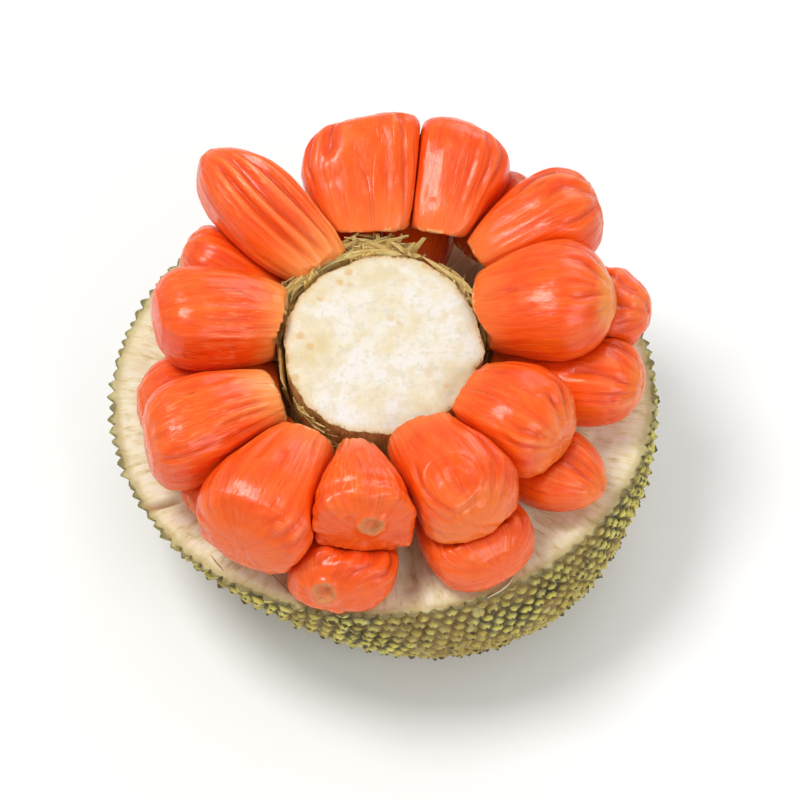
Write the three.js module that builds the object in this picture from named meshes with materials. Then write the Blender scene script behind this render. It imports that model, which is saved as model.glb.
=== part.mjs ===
// Crosswise-cut end of a red-fleshed jackfruit, opened out for eating. A shallow bowl of spiky
// rind and pale pith stands on the flat spot of its underside. A thick stub of the fruit's core
// rises from the middle, and two rings of fleshy pods (arils) stand round it like petals: an
// upper ring whose bases lean on the core, and a lower ring lying on the pith.
// Millimetres, +Z up, origin at the centre of the footprint, on the plane the bowl rests on.
import * as THREE from "three";

// ---- driving dimensions ----
// The working frame has its origin at the centre of the cut rim, with the rim plane at z = 0.
const ORIGIN = new THREE.Vector3(2.174, -0.595, -86); // origin of the finished part, in the working frame
const RIM_RADIUS = 136; // of the cut edge of the rind
const BOWL_DEPTH = 86; // rim plane down to the resting face
const REST_RADIUS = 50; // flat spot under the bowl
const REST_CENTRE = [34, -12]; // the fruit's end lies off-centre under the cut
const REST_SHIFT = 1.2; // how quickly the bowl's rings drift towards the flat spot
// fullness of the bowl wall every 30 degrees from +X: near 1 is a straight slope, over 2 a round wall
const FULLNESS = [1.8, 1.95, 2.0, 1.95, 1.85, 1.75, 1.55, 1.42, 1.75, 2.3, 2.2, 1.8];
const RIND_COLUMNS = 108;
const RIND_ROWS = 17;
const KNOB_UP = 1.5; // knobs and the dips between them, from the mean skin
const KNOB_DOWN = 0.5;
const PITH_DISH = 4; // depth of the dished pith under the pods
const PITH_DISH_R0 = 108; // the dish ends here
const PITH_DISH_R1 = 134; // and the level cut edge starts here

const CORE_FOOT = [1, -3, -6]; // centre line of the core stub
const CORE_TOP = [1, -11, 45];
const CORE_RX = 49.3;
const CORE_RY = 51;
const CORE_WAIST = 1.2; // the stub is slightly waisted below its cut face
const CORE_SIDES = 44;

const GAP = 1.1; // between two pods pressed together
const CORE_GAP = 2.6; // between a pod and the core
const BLEND = 4; // softness of a pressed pod's edges
const POD_SIDES = 16;
const POD_ROWS = 10;
const SQUARENESS = 2.5; // of a pod's cross-section
const WIDEST = 0.6; // where along a pod it is widest

// name, base point, tip point, width, thickness, width of the base as a share, arch, push against neighbours
const PODS = [
  ["aril_upper_01", [-4.4, 63.3, 46.0], [-6.9, 118.0, 66.0], 65, 42, 0.6, 0, 1],
  ["aril_upper_02", [31.5, 59.7, 44.0], [46.9, 117.2, 62.0], 50, 42, 0.64, 0, 1],
  ["aril_upper_03", [53.1, 43.8, 40.0], [111.5, 66.9, 54.0], 46, 42, 0.6, 3, 1],
  ["aril_upper_04", [51.5, 11.4, 40.0], [113.1, 2.7, 58.0], 61, 46, 0.58, 2, 1],
  ["aril_upper_05", [38.6, -37.8, 36.0], [84.8, -67.8, 38.0], 51, 42, 0.58, 3, 1],
  ["aril_upper_06", [17.2, -54.1, 32.0], [43.7, -110.7, 36.0], 49, 42, 0.62, 3, 1],
  ["aril_upper_07", [-13.2, -56.4, 30.0], [-8.3, -116.5, 36.0], 47, 42, 0.36, 3, 1.5],
  ["aril_upper_08", [-35.0, -56.8, 30.0], [-63.8, -116.0, 30.0], 56, 44, 0.55, 3, 1],
  ["aril_upper_09", [-50.5, -35.5, 32.0], [-110.1, -64.0, 38.0], 44, 44, 0.58, 2, 1],
  ["aril_upper_10", [-47.1, 8.7, 38.0], [-107.8, -0.9, 54.0], 49, 42, 0.6, 2, 1],
  ["aril_upper_11", [-30.4, 39.6, 42.0], [-81.3, 86.0, 68.0], 46, 42, 0.66, 2, 1],
  ["aril_upper_12", [-45.6, 37.5, 24.0], [-97.9, 55.2, 42.0], 40, 34, 0.6, 2, 0],
  ["aril_lower_01", [-47.9, -16.8, 12.0], [-118.4, -28.3, 20.0], 52, 34, 0.55, 2, 0],
  ["aril_lower_02", [-45.3, -36.0, 9.0], [-91.7, -80.0, 12.0], 36, 32, 0.55, 2, 0],
  ["aril_lower_03", [-8.4, -77.8, 9.0], [-28.7, -131.7, 14.0], 44, 34, 0.55, 1, 0],
  ["aril_lower_04", [27.0, -73.3, 9.0], [52.8, -121.6, 15.0], 52, 34, 0.55, 1, 0],
  ["aril_lower_05", [47.5, -44.8, 9.0], [103.4, -81.5, 18.0], 43, 34, 0.55, 1, 0],
  ["aril_lower_06", [59.5, -3.2, 10.0], [126.1, -27.2, 26.0], 50, 38, 0.55, 1, 0],
  ["aril_lower_07", [71.6, 31.9, 14.0], [132.1, 8.4, 38.0], 46, 38, 0.55, 1, 0],
  ["aril_lower_08", [47.9, 73.3, 14.0], [80.0, 98.4, 38.0], 44, 34, 0.55, 1, 0],
  ["aril_lower_09", [14.0, 56.3, 9.0], [27.4, 118.9, 20.0], 44, 34, 0.55, 1, 0],
  ["aril_lower_10", [-11.1, 56.9, 9.0], [-23.3, 119.8, 18.0], 44, 34, 0.55, 1, 0],
  ["aril_lower_11", [-34.1, 46.9, 9.0], [-68.2, 101.1, 18.0], 42, 34, 0.55, 1, 0],
  ["aril_lower_12", [53.0, 23.6, 9.0], [110.5, 56.3, 16.0], 42, 34, 0.55, 1, 0],
  ["aril_lower_13", [-51.9, 21.0, 9.0], [-102.0, 39.0, 13.0], 38, 29, 0.55, 1, 0],
  ["aril_lower_14", [-29.7, -47.5, 8.5], [-54.0, -87.0, 9.5], 36, 25, 0.55, 0, 0],
];

// Torn strips of fibrous rag that cling to the side of the core: middle angle and half-span in
// degrees, bottom and top as shares of the core's height, stand-off at the bottom and top, thickness
const RAGS = [
  ["rag_strip_01", 130, 14, 0.3, 0.97, 0.7, 1.5, 0.9],
  ["rag_strip_02", 100, 13, 0.35, 0.93, 0.7, 1.3, 0.9],
  ["rag_strip_03", 157, 10, 0.25, 0.9, 0.7, 1.2, 0.9],
  ["rag_strip_04", 186, 12, 0.2, 0.86, 0.7, 1.1, 0.9],
  ["rag_strip_05", 222, 10, 0.2, 0.88, 0.7, 1.1, 0.9],
  ["rag_strip_06", 286, 12, 0.3, 0.93, 0.7, 1.2, 0.9],
  ["rag_strip_07", 332, 9, 0.25, 0.84, 0.7, 1.1, 0.9],
  ["rag_strip_08", 34, 14, 0.25, 0.9, 0.7, 1.2, 0.9],
];

// ---- helpers ----
const V = (a) => new THREE.Vector3(...a);
const clamp = (x, lo, hi) => Math.min(Math.max(x, lo), hi);
const rad = THREE.MathUtils.degToRad;

// smooth maximum of two numbers
function smax(a, b, k) {
  const h = Math.max(k - Math.abs(a - b), 0) / k;
  return Math.max(a, b) + h * h * k * 0.25;
}

function rimRadius(t) {
  return RIM_RADIUS + 0.5 * Math.cos(2 * t - 0.6) + 0.6 * Math.cos(3 * t + 1.0);
}

// the wall's fullness at an angle, a closed Catmull-Rom curve through the table
function fullness(t) {
  const n = FULLNESS.length;
  const x = ((t / (2 * Math.PI)) * n + 2 * n) % n;
  const i = Math.floor(x);
  const u = x - i;
  const p = (k) => FULLNESS[(i + k + n) % n];
  const [a, b, c, d] = [p(-1), p(0), p(1), p(2)];
  return (
    b + 0.5 * u * (c - a + u * (2 * a - 5 * b + 4 * c - d + u * (3 * (b - c) + d - a)))
  );
}

// a point of the mean skin at angle t; q runs from 0 at the rim to 1 at the edge of the rest
function skin(t, q) {
  const n = fullness(t);
  const k = Math.pow(Math.max(1 - Math.pow(q, n), 0), 1 / n);
  const r = REST_RADIUS + (rimRadius(t) - REST_RADIUS) * k;
  const w = Math.pow(q, REST_SHIFT);
  return new THREE.Vector3(
    REST_CENTRE[0] * w + r * Math.cos(t),
    REST_CENTRE[1] * w + r * Math.sin(t),
    -BOWL_DEPTH * q,
  );
}

function pithHeight(x, y) {
  const s = clamp((Math.hypot(x, y) - PITH_DISH_R0) / (PITH_DISH_R1 - PITH_DISH_R0), 0, 1);
  return -PITH_DISH * (1 - s * s * (3 - 2 * s));
}

// ---- rind and pith: one solid ----
function makeRind() {
  const rows = [];
  rows.push([0, -BOWL_DEPTH]);
  for (let j = 0; j <= RIND_ROWS; j++) rows.push([1, -BOWL_DEPTH + j]);
  const top = [0.982, 0.93, 0.86, 0.794, 0.4, 0];
  for (const s of top) rows.push([s, 0]);
  const geometry = new THREE.LatheGeometry(
    rows.map(([x, y]) => new THREE.Vector2(x, y)),
    RIND_COLUMNS,
  );
  const at = geometry.getAttribute("position");
  const per = rows.length;
  for (let i = 0; i <= RIND_COLUMNS; i++) {
    const col = i % RIND_COLUMNS;
    const t = (col / RIND_COLUMNS) * 2 * Math.PI;
    for (let j = 0; j < per; j++) {
      const p = new THREE.Vector3();
      if (j === 0) p.set(REST_CENTRE[0], REST_CENTRE[1], -BOWL_DEPTH);
      else if (j <= RIND_ROWS + 1) {
        const m = (j - 1) / RIND_ROWS; // 0 at the rest's edge, 1 at the rim
        const q = Math.pow(Math.cos((0.5 * Math.PI * m)), 0.8);
        p.copy(skin(t, j === RIND_ROWS + 1 ? 0 : q));
        if (j > 1 && j <= RIND_ROWS) {
          const e = 0.01;
          const dt = skin(t + e, q).sub(skin(t - e, q));
          const dq = skin(t, Math.max(q - e, 0)).sub(skin(t, Math.min(q + e, 1)));
          const normal = dt.cross(dq).normalize();
          const knob = (j + col) % 2 ? KNOB_UP : -KNOB_DOWN;
          p.addScaledVector(normal, knob * (j === RIND_ROWS || j === 2 ? 0.5 : 1));
          p.z = Math.max(p.z, -BOWL_DEPTH + 0.25);
        }
      } else {
        const s = top[j - RIND_ROWS - 2];
        const r = rimRadius(t) * s;
        const [x, y] = [r * Math.cos(t), r * Math.sin(t)];
        p.set(x, y, pithHeight(x, y));
      }
      at.setXYZ(i * per + j, p.x, p.y, p.z);
    }
  }
  return geometry;
}

// ---- core ----
const coreFoot = V(CORE_FOOT);
const coreTop = V(CORE_TOP);
const coreAxis = coreTop.clone().sub(coreFoot);
const coreLength = coreAxis.length();
coreAxis.normalize();
const coreX = new THREE.Vector3(1, 0, 0);
const coreY = coreAxis.clone().cross(coreX);

// signed distance-like value, positive outside the core
function coreField(p) {
  const q = p.clone().sub(coreFoot);
  const r = Math.hypot(q.dot(coreX) / CORE_RX, q.dot(coreY) / CORE_RY);
  const side = (r - 1) * 0.5 * (CORE_RX + CORE_RY);
  return Math.max(side, q.dot(coreAxis) - coreLength);
}

// radius share of the core at angle f and height share h, with the shallow flutes of its fibres
function coreShare(f, h) {
  const flutes = 0.006 * Math.sin(9 * f + 1) + 0.004 * Math.sin(14 * f + 4);
  const waist = (CORE_WAIST / CORE_RX) * Math.sin(Math.PI * clamp(h, 0, 1));
  return 1 - waist - 0.01 + flutes;
}

function corePoint(f, h, share, out = 0) {
  const floor = -PITH_DISH + 0.3;
  const k = coreShare(f, h) * share;
  const x = CORE_RX * k * Math.cos(f) + out * Math.cos(f);
  const y = CORE_RY * k * Math.sin(f) + out * Math.sin(f);
  const high = coreTop.clone().addScaledVector(coreX, x).addScaledVector(coreY, y);
  const low = coreFoot.clone().addScaledVector(coreX, x).addScaledVector(coreY, y);
  low.addScaledVector(coreAxis, (floor - low.z) / coreAxis.z);
  return low.lerp(high, h);
}

function makeCore() {
  const levels = 5;
  const geometry = new THREE.CylinderGeometry(1, 1, 1, CORE_SIDES, levels);
  geometry.rotateX(Math.PI / 2);
  const at = geometry.getAttribute("position");
  for (let i = 0; i < at.count; i++) {
    const [x, y, z] = [at.getX(i), at.getY(i), at.getZ(i)];
    const share = Math.hypot(x, y);
    const f = Math.atan2(y, x);
    const p = corePoint(f, z + 0.5, share);
    if (z > 0.49 && share < 0.5) p.addScaledVector(coreAxis, 0.8); // the cut face is very slightly domed
    at.setXYZ(i, p.x, p.y, p.z);
  }
  return geometry;
}

// ---- pods ----
class Pod {
  constructor([name, base, tip, width, thickness, baseShare, arch, push]) {
    Object.assign(this, { name, width, thickness, baseShare, arch, push });
    this.base = V(base);
    this.axis = V(tip).sub(this.base);
    this.length = this.axis.length();
    this.axis.normalize();
    this.up = new THREE.Vector3(0, 0, 1).addScaledVector(this.axis, -this.axis.z).normalize();
    this.side = this.axis.clone().cross(this.up);
    this.middle = this.base
      .clone()
      .addScaledVector(this.axis, this.length * 0.55)
      .addScaledVector(this.up, arch);
    this.reach = Math.max(this.length * 0.6, width * 0.75);
  }

  // half-width of the pod at t, as a share of its greatest: narrow cut base, full shoulder, blunt tip
  profile(t) {
    t = clamp(t, 0, 1);
    let r = this.baseShare + (1 - this.baseShare) *
      Math.pow(Math.sin(0.5 * Math.PI * clamp(t / WIDEST, 0, 1)), 0.9);
    if (t > WIDEST) {
      const e = (t - WIDEST) / (1 - WIDEST);
      r = Math.pow(Math.max(1 - Math.pow(e, 2.4), 0), 1 / 2.4);
    }
    const b = clamp(1 - t / 0.07, 0, 1);
    return r * Math.pow(Math.max(1 - Math.pow(b, 2.2), 0), 1 / 2.2);
  }

  spine(t) {
    return this.base
      .clone()
      .addScaledVector(this.axis, this.length * t)
      .addScaledVector(this.up, this.arch * 4 * t * (1 - t));
  }

  // about the distance outside the free-standing pod, less its push
  field(p) {
    const q = p.clone().sub(this.base);
    const along = q.dot(this.axis);
    const t = clamp(along / this.length, 0.03, 0.97);
    const beyond = Math.abs(along / this.length - t) * this.length;
    const k = this.profile(t);
    const w = 0.5 * this.width * k;
    const h = 0.5 * this.thickness * k;
    const b = Math.abs(q.dot(this.side)) / w;
    const c = Math.abs(q.dot(this.up) - this.arch * 4 * t * (1 - t)) / h;
    const rho = Math.pow(Math.pow(b, SQUARENESS) + Math.pow(c, SQUARENESS), 1 / SQUARENESS);
    const g = (rho - 1) * 0.5 * (w + h);
    return (g > 0 ? Math.hypot(g, beyond) : g + beyond) - this.push;
  }

  // free surface point at (t, f)
  free(t, f) {
    const k = this.profile(t);
    const [c, s] = [Math.cos(f), Math.sin(f)];
    const x = 0.5 * this.width * k * Math.sign(c) * Math.pow(Math.abs(c), 2 / SQUARENESS);
    const y = 0.5 * this.thickness * k * Math.sign(s) * Math.pow(Math.abs(s), 2 / SQUARENESS);
    return this.spine(t).addScaledVector(this.side, x).addScaledVector(this.up, y);
  }
}

const pods = PODS.map((row) => new Pod(row));

// positive outside the room that a pod has among its neighbours, the core and the pith
function room(pod, near, p) {
  const own = pod.field(p);
  let g = own + pod.push;
  for (const other of near) g = smax(g, (own - other.field(p) + GAP) * 0.5, BLEND);
  g = smax(g, GAP * 0.5 + CORE_GAP - coreField(p), BLEND);
  return smax(g, GAP * 0.5 - (p.z - pithHeight(p.x, p.y)), BLEND);
}

function makePod(pod) {
  const near = pods.filter(
    (o) => o !== pod && o.middle.distanceTo(pod.middle) < o.reach + pod.reach,
  );
  const geometry = new THREE.SphereGeometry(1, POD_SIDES, POD_ROWS);
  const at = geometry.getAttribute("position");
  for (let row = 0; row <= POD_ROWS; row++) {
    const u = row / POD_ROWS;
    const t = 0.35 * u + 0.65 * (0.5 - 0.5 * Math.cos(Math.PI * u));
    const inner = pod.spine(clamp(t, 0.16, 0.8));
    for (let col = 0; col <= POD_SIDES; col++) {
      const pole = row === 0 || row === POD_ROWS;
      const f = pole ? 0 : ((col % POD_SIDES) / POD_SIDES) * 2 * Math.PI;
      const outer = pole ? pod.spine(t) : pod.free(t, f);
      // walk outwards from the spine until the room ends
      const point = (s) => inner.clone().lerp(outer, s);
      let lo = 0.04, hi = 1.04, prev = 0.04, found = false;
      for (let k = 1; k <= 20 && !found; k++) {
        const s = 0.04 + (1.0 * k) / 20;
        if (room(pod, near, point(s)) > 0) {
          lo = prev;
          hi = s;
          found = true;
        }
        prev = s;
      }
      if (!found) lo = hi = 1.04;
      for (let k = 0; k < 12; k++) {
        const m = 0.5 * (lo + hi);
        if (room(pod, near, point(m)) > 0) hi = m;
        else lo = m;
      }
      const p = point(lo);
      at.setXYZ(row * (POD_SIDES + 1) + col, p.x, p.y, p.z);
    }
  }
  return geometry;
}

// ---- rag strips ----
function makeRag([, middle, half, low, high, offLow, offHigh, thick]) {
  const geometry = new THREE.BoxGeometry(2, 1, 1, 6, 3, 1);
  const at = geometry.getAttribute("position");
  for (let i = 0; i < at.count; i++) {
    const [x, y, z] = [at.getX(i), at.getY(i) + 0.5, at.getZ(i) + 0.5];
    const f = rad(middle + half * x);
    const crest = 1 - 0.55 * x * x; // pointed ends
    const h = low + (high - low) * (0.5 + (y - 0.5) * crest);
    const off = offLow + (offHigh - offLow) * y + z * thick * (1 - 0.45 * x * x);
    const p = corePoint(f, h, 1, off);
    at.setXYZ(i, p.x, p.y, p.z);
  }
  return geometry;
}

// ---- assembly ----
const group = new THREE.Group();
function add(name, geometry, color, roughness) {
  geometry.translate(-ORIGIN.x, -ORIGIN.y, -ORIGIN.z);
  geometry.computeVertexNormals();
  const mesh = new THREE.Mesh(
    geometry,
    new THREE.MeshStandardMaterial({ color, roughness, metalness: 0 }),
  );
  mesh.name = name;
  group.add(mesh);
}

add("rind", makeRind(), 0x9a9450, 0.8);
add("core", makeCore(), 0xf1e3c8, 0.75);
for (const pod of pods) add(pod.name, makePod(pod), 0xf4511e, 0.3);
for (const rag of RAGS) add(rag[0], makeRag(rag), 0xe3cf94, 0.8);

export default group;
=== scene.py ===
import math

import bmesh
import bpy
import numpy as np
from mathutils import Matrix, Vector
from mathutils.geometry import delaunay_2d_cdt


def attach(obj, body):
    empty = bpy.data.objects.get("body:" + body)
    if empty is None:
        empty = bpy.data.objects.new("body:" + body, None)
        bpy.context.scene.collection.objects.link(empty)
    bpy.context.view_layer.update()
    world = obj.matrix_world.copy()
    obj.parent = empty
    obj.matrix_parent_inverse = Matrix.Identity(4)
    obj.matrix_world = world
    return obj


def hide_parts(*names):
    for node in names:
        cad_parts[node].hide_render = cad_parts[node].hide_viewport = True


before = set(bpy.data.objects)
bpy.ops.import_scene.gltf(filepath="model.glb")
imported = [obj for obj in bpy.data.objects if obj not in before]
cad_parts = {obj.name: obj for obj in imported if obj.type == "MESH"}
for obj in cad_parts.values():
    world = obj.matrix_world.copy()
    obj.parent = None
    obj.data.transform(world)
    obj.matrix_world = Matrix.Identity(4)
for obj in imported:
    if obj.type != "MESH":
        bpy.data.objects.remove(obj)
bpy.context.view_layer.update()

PI = math.pi
# ------------------------------------------------------------------ dimensions, in mm, in the
# working frame: origin at the centre of the cut rim, rim plane at z = 0
ORIGIN = np.array([2.174, -0.595, -86.0])
RIM_RADIUS, BOWL_DEPTH, REST_RADIUS = 136.0, 86.0, 50.0
REST_CENTRE, REST_SHIFT = (34.0, -12.0), 1.2
FULLNESS = np.array([1.8, 1.95, 2.0, 1.95, 1.85, 1.75, 1.55, 1.42, 1.75, 2.3, 2.2, 1.8])
PITH_DISH, DISH_R0, DISH_R1 = 4.0, 108.0, 134.0
CORE_FOOT, CORE_TOP = np.array([1.0, -3.0, -6.0]), np.array([1.0, -11.0, 45.0])
CORE_RX, CORE_RY, CORE_WAIST = 49.3, 51.0, 1.2
GAP, CORE_GAP, BLEND = 0.24, 2.5, 3.4
WIDEST = 0.6

# name, base, tip, width, thickness, base share, arch, push, style
PODS = [
    ("aril_upper_01", (-4.4, 63.3, 46.0), (-6.9, 118.0, 66.0), 65, 42, 0.6, 0, 1),
    ("aril_upper_02", (31.5, 59.7, 44.0), (46.9, 117.2, 62.0), 50, 42, 0.64, 0, 1),
    ("aril_upper_03", (53.1, 43.8, 40.0), (111.5, 66.9, 54.0), 46, 42, 0.6, 3, 1),
    ("aril_upper_04", (51.5, 11.4, 40.0), (113.1, 2.7, 58.0), 61, 46, 0.58, 2, 1),
    ("aril_upper_05", (38.6, -37.8, 36.0), (84.8, -67.8, 38.0), 51, 42, 0.58, 3, 1),
    ("aril_upper_06", (17.2, -54.1, 32.0), (43.7, -110.7, 36.0), 49, 42, 0.62, 3, 1),
    ("aril_upper_07", (-13.2, -56.4, 30.0), (-8.3, -116.5, 36.0), 47, 42, 0.36, 3, 1.5),
    ("aril_upper_08", (-35.0, -56.8, 30.0), (-63.8, -116.0, 30.0), 56, 44, 0.55, 3, 1),
    ("aril_upper_09", (-50.5, -35.5, 32.0), (-110.1, -64.0, 38.0), 44, 44, 0.58, 2, 1),
    ("aril_upper_10", (-47.1, 8.7, 38.0), (-107.8, -0.9, 54.0), 49, 42, 0.6, 2, 1),
    ("aril_upper_11", (-30.4, 39.6, 42.0), (-81.3, 86.0, 68.0), 46, 42, 0.66, 2, 1),
    ("aril_upper_12", (-45.6, 37.5, 24.0), (-97.9, 55.2, 42.0), 40, 34, 0.6, 2, 0),
    ("aril_lower_01", (-47.9, -16.8, 12.0), (-118.4, -28.3, 20.0), 52, 34, 0.55, 2, 0),
    ("aril_lower_02", (-45.3, -36.0, 9.0), (-91.7, -80.0, 12.0), 36, 32, 0.55, 2, 0),
    ("aril_lower_03", (-8.4, -77.8, 9.0), (-28.7, -131.7, 14.0), 44, 34, 0.55, 1, 0),
    ("aril_lower_04", (27.0, -73.3, 9.0), (52.8, -121.6, 15.0), 52, 34, 0.55, 1, 0),
    ("aril_lower_05", (47.5, -44.8, 9.0), (103.4, -81.5, 18.0), 43, 34, 0.55, 1, 0),
    ("aril_lower_06", (59.5, -3.2, 10.0), (126.1, -27.2, 26.0), 50, 38, 0.55, 1, 0),
    ("aril_lower_07", (71.6, 31.9, 14.0), (132.1, 8.4, 38.0), 46, 38, 0.55, 1, 0),
    ("aril_lower_08", (47.9, 73.3, 14.0), (80.0, 98.4, 38.0), 44, 34, 0.55, 1, 0),
    ("aril_lower_09", (14.0, 56.3, 9.0), (27.4, 118.9, 20.0), 44, 34, 0.55, 1, 0),
    ("aril_lower_10", (-11.1, 56.9, 9.0), (-23.3, 119.8, 18.0), 44, 34, 0.55, 1, 0),
    ("aril_lower_11", (-34.1, 46.9, 9.0), (-68.2, 101.1, 18.0), 42, 34, 0.55, 1, 0),
    ("aril_lower_12", (53.0, 23.6, 9.0), (110.5, 56.3, 16.0), 42, 34, 0.55, 1, 0),
    ("aril_lower_13", (-51.9, 21.0, 9.0), (-102.0, 39.0, 13.0), 38, 29, 0.55, 1, 0),
    ("aril_lower_14", (-29.7, -47.5, 8.5), (-54.0, -87.0, 9.5), 36, 25, 0.55, 0, 0),
]
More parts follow.
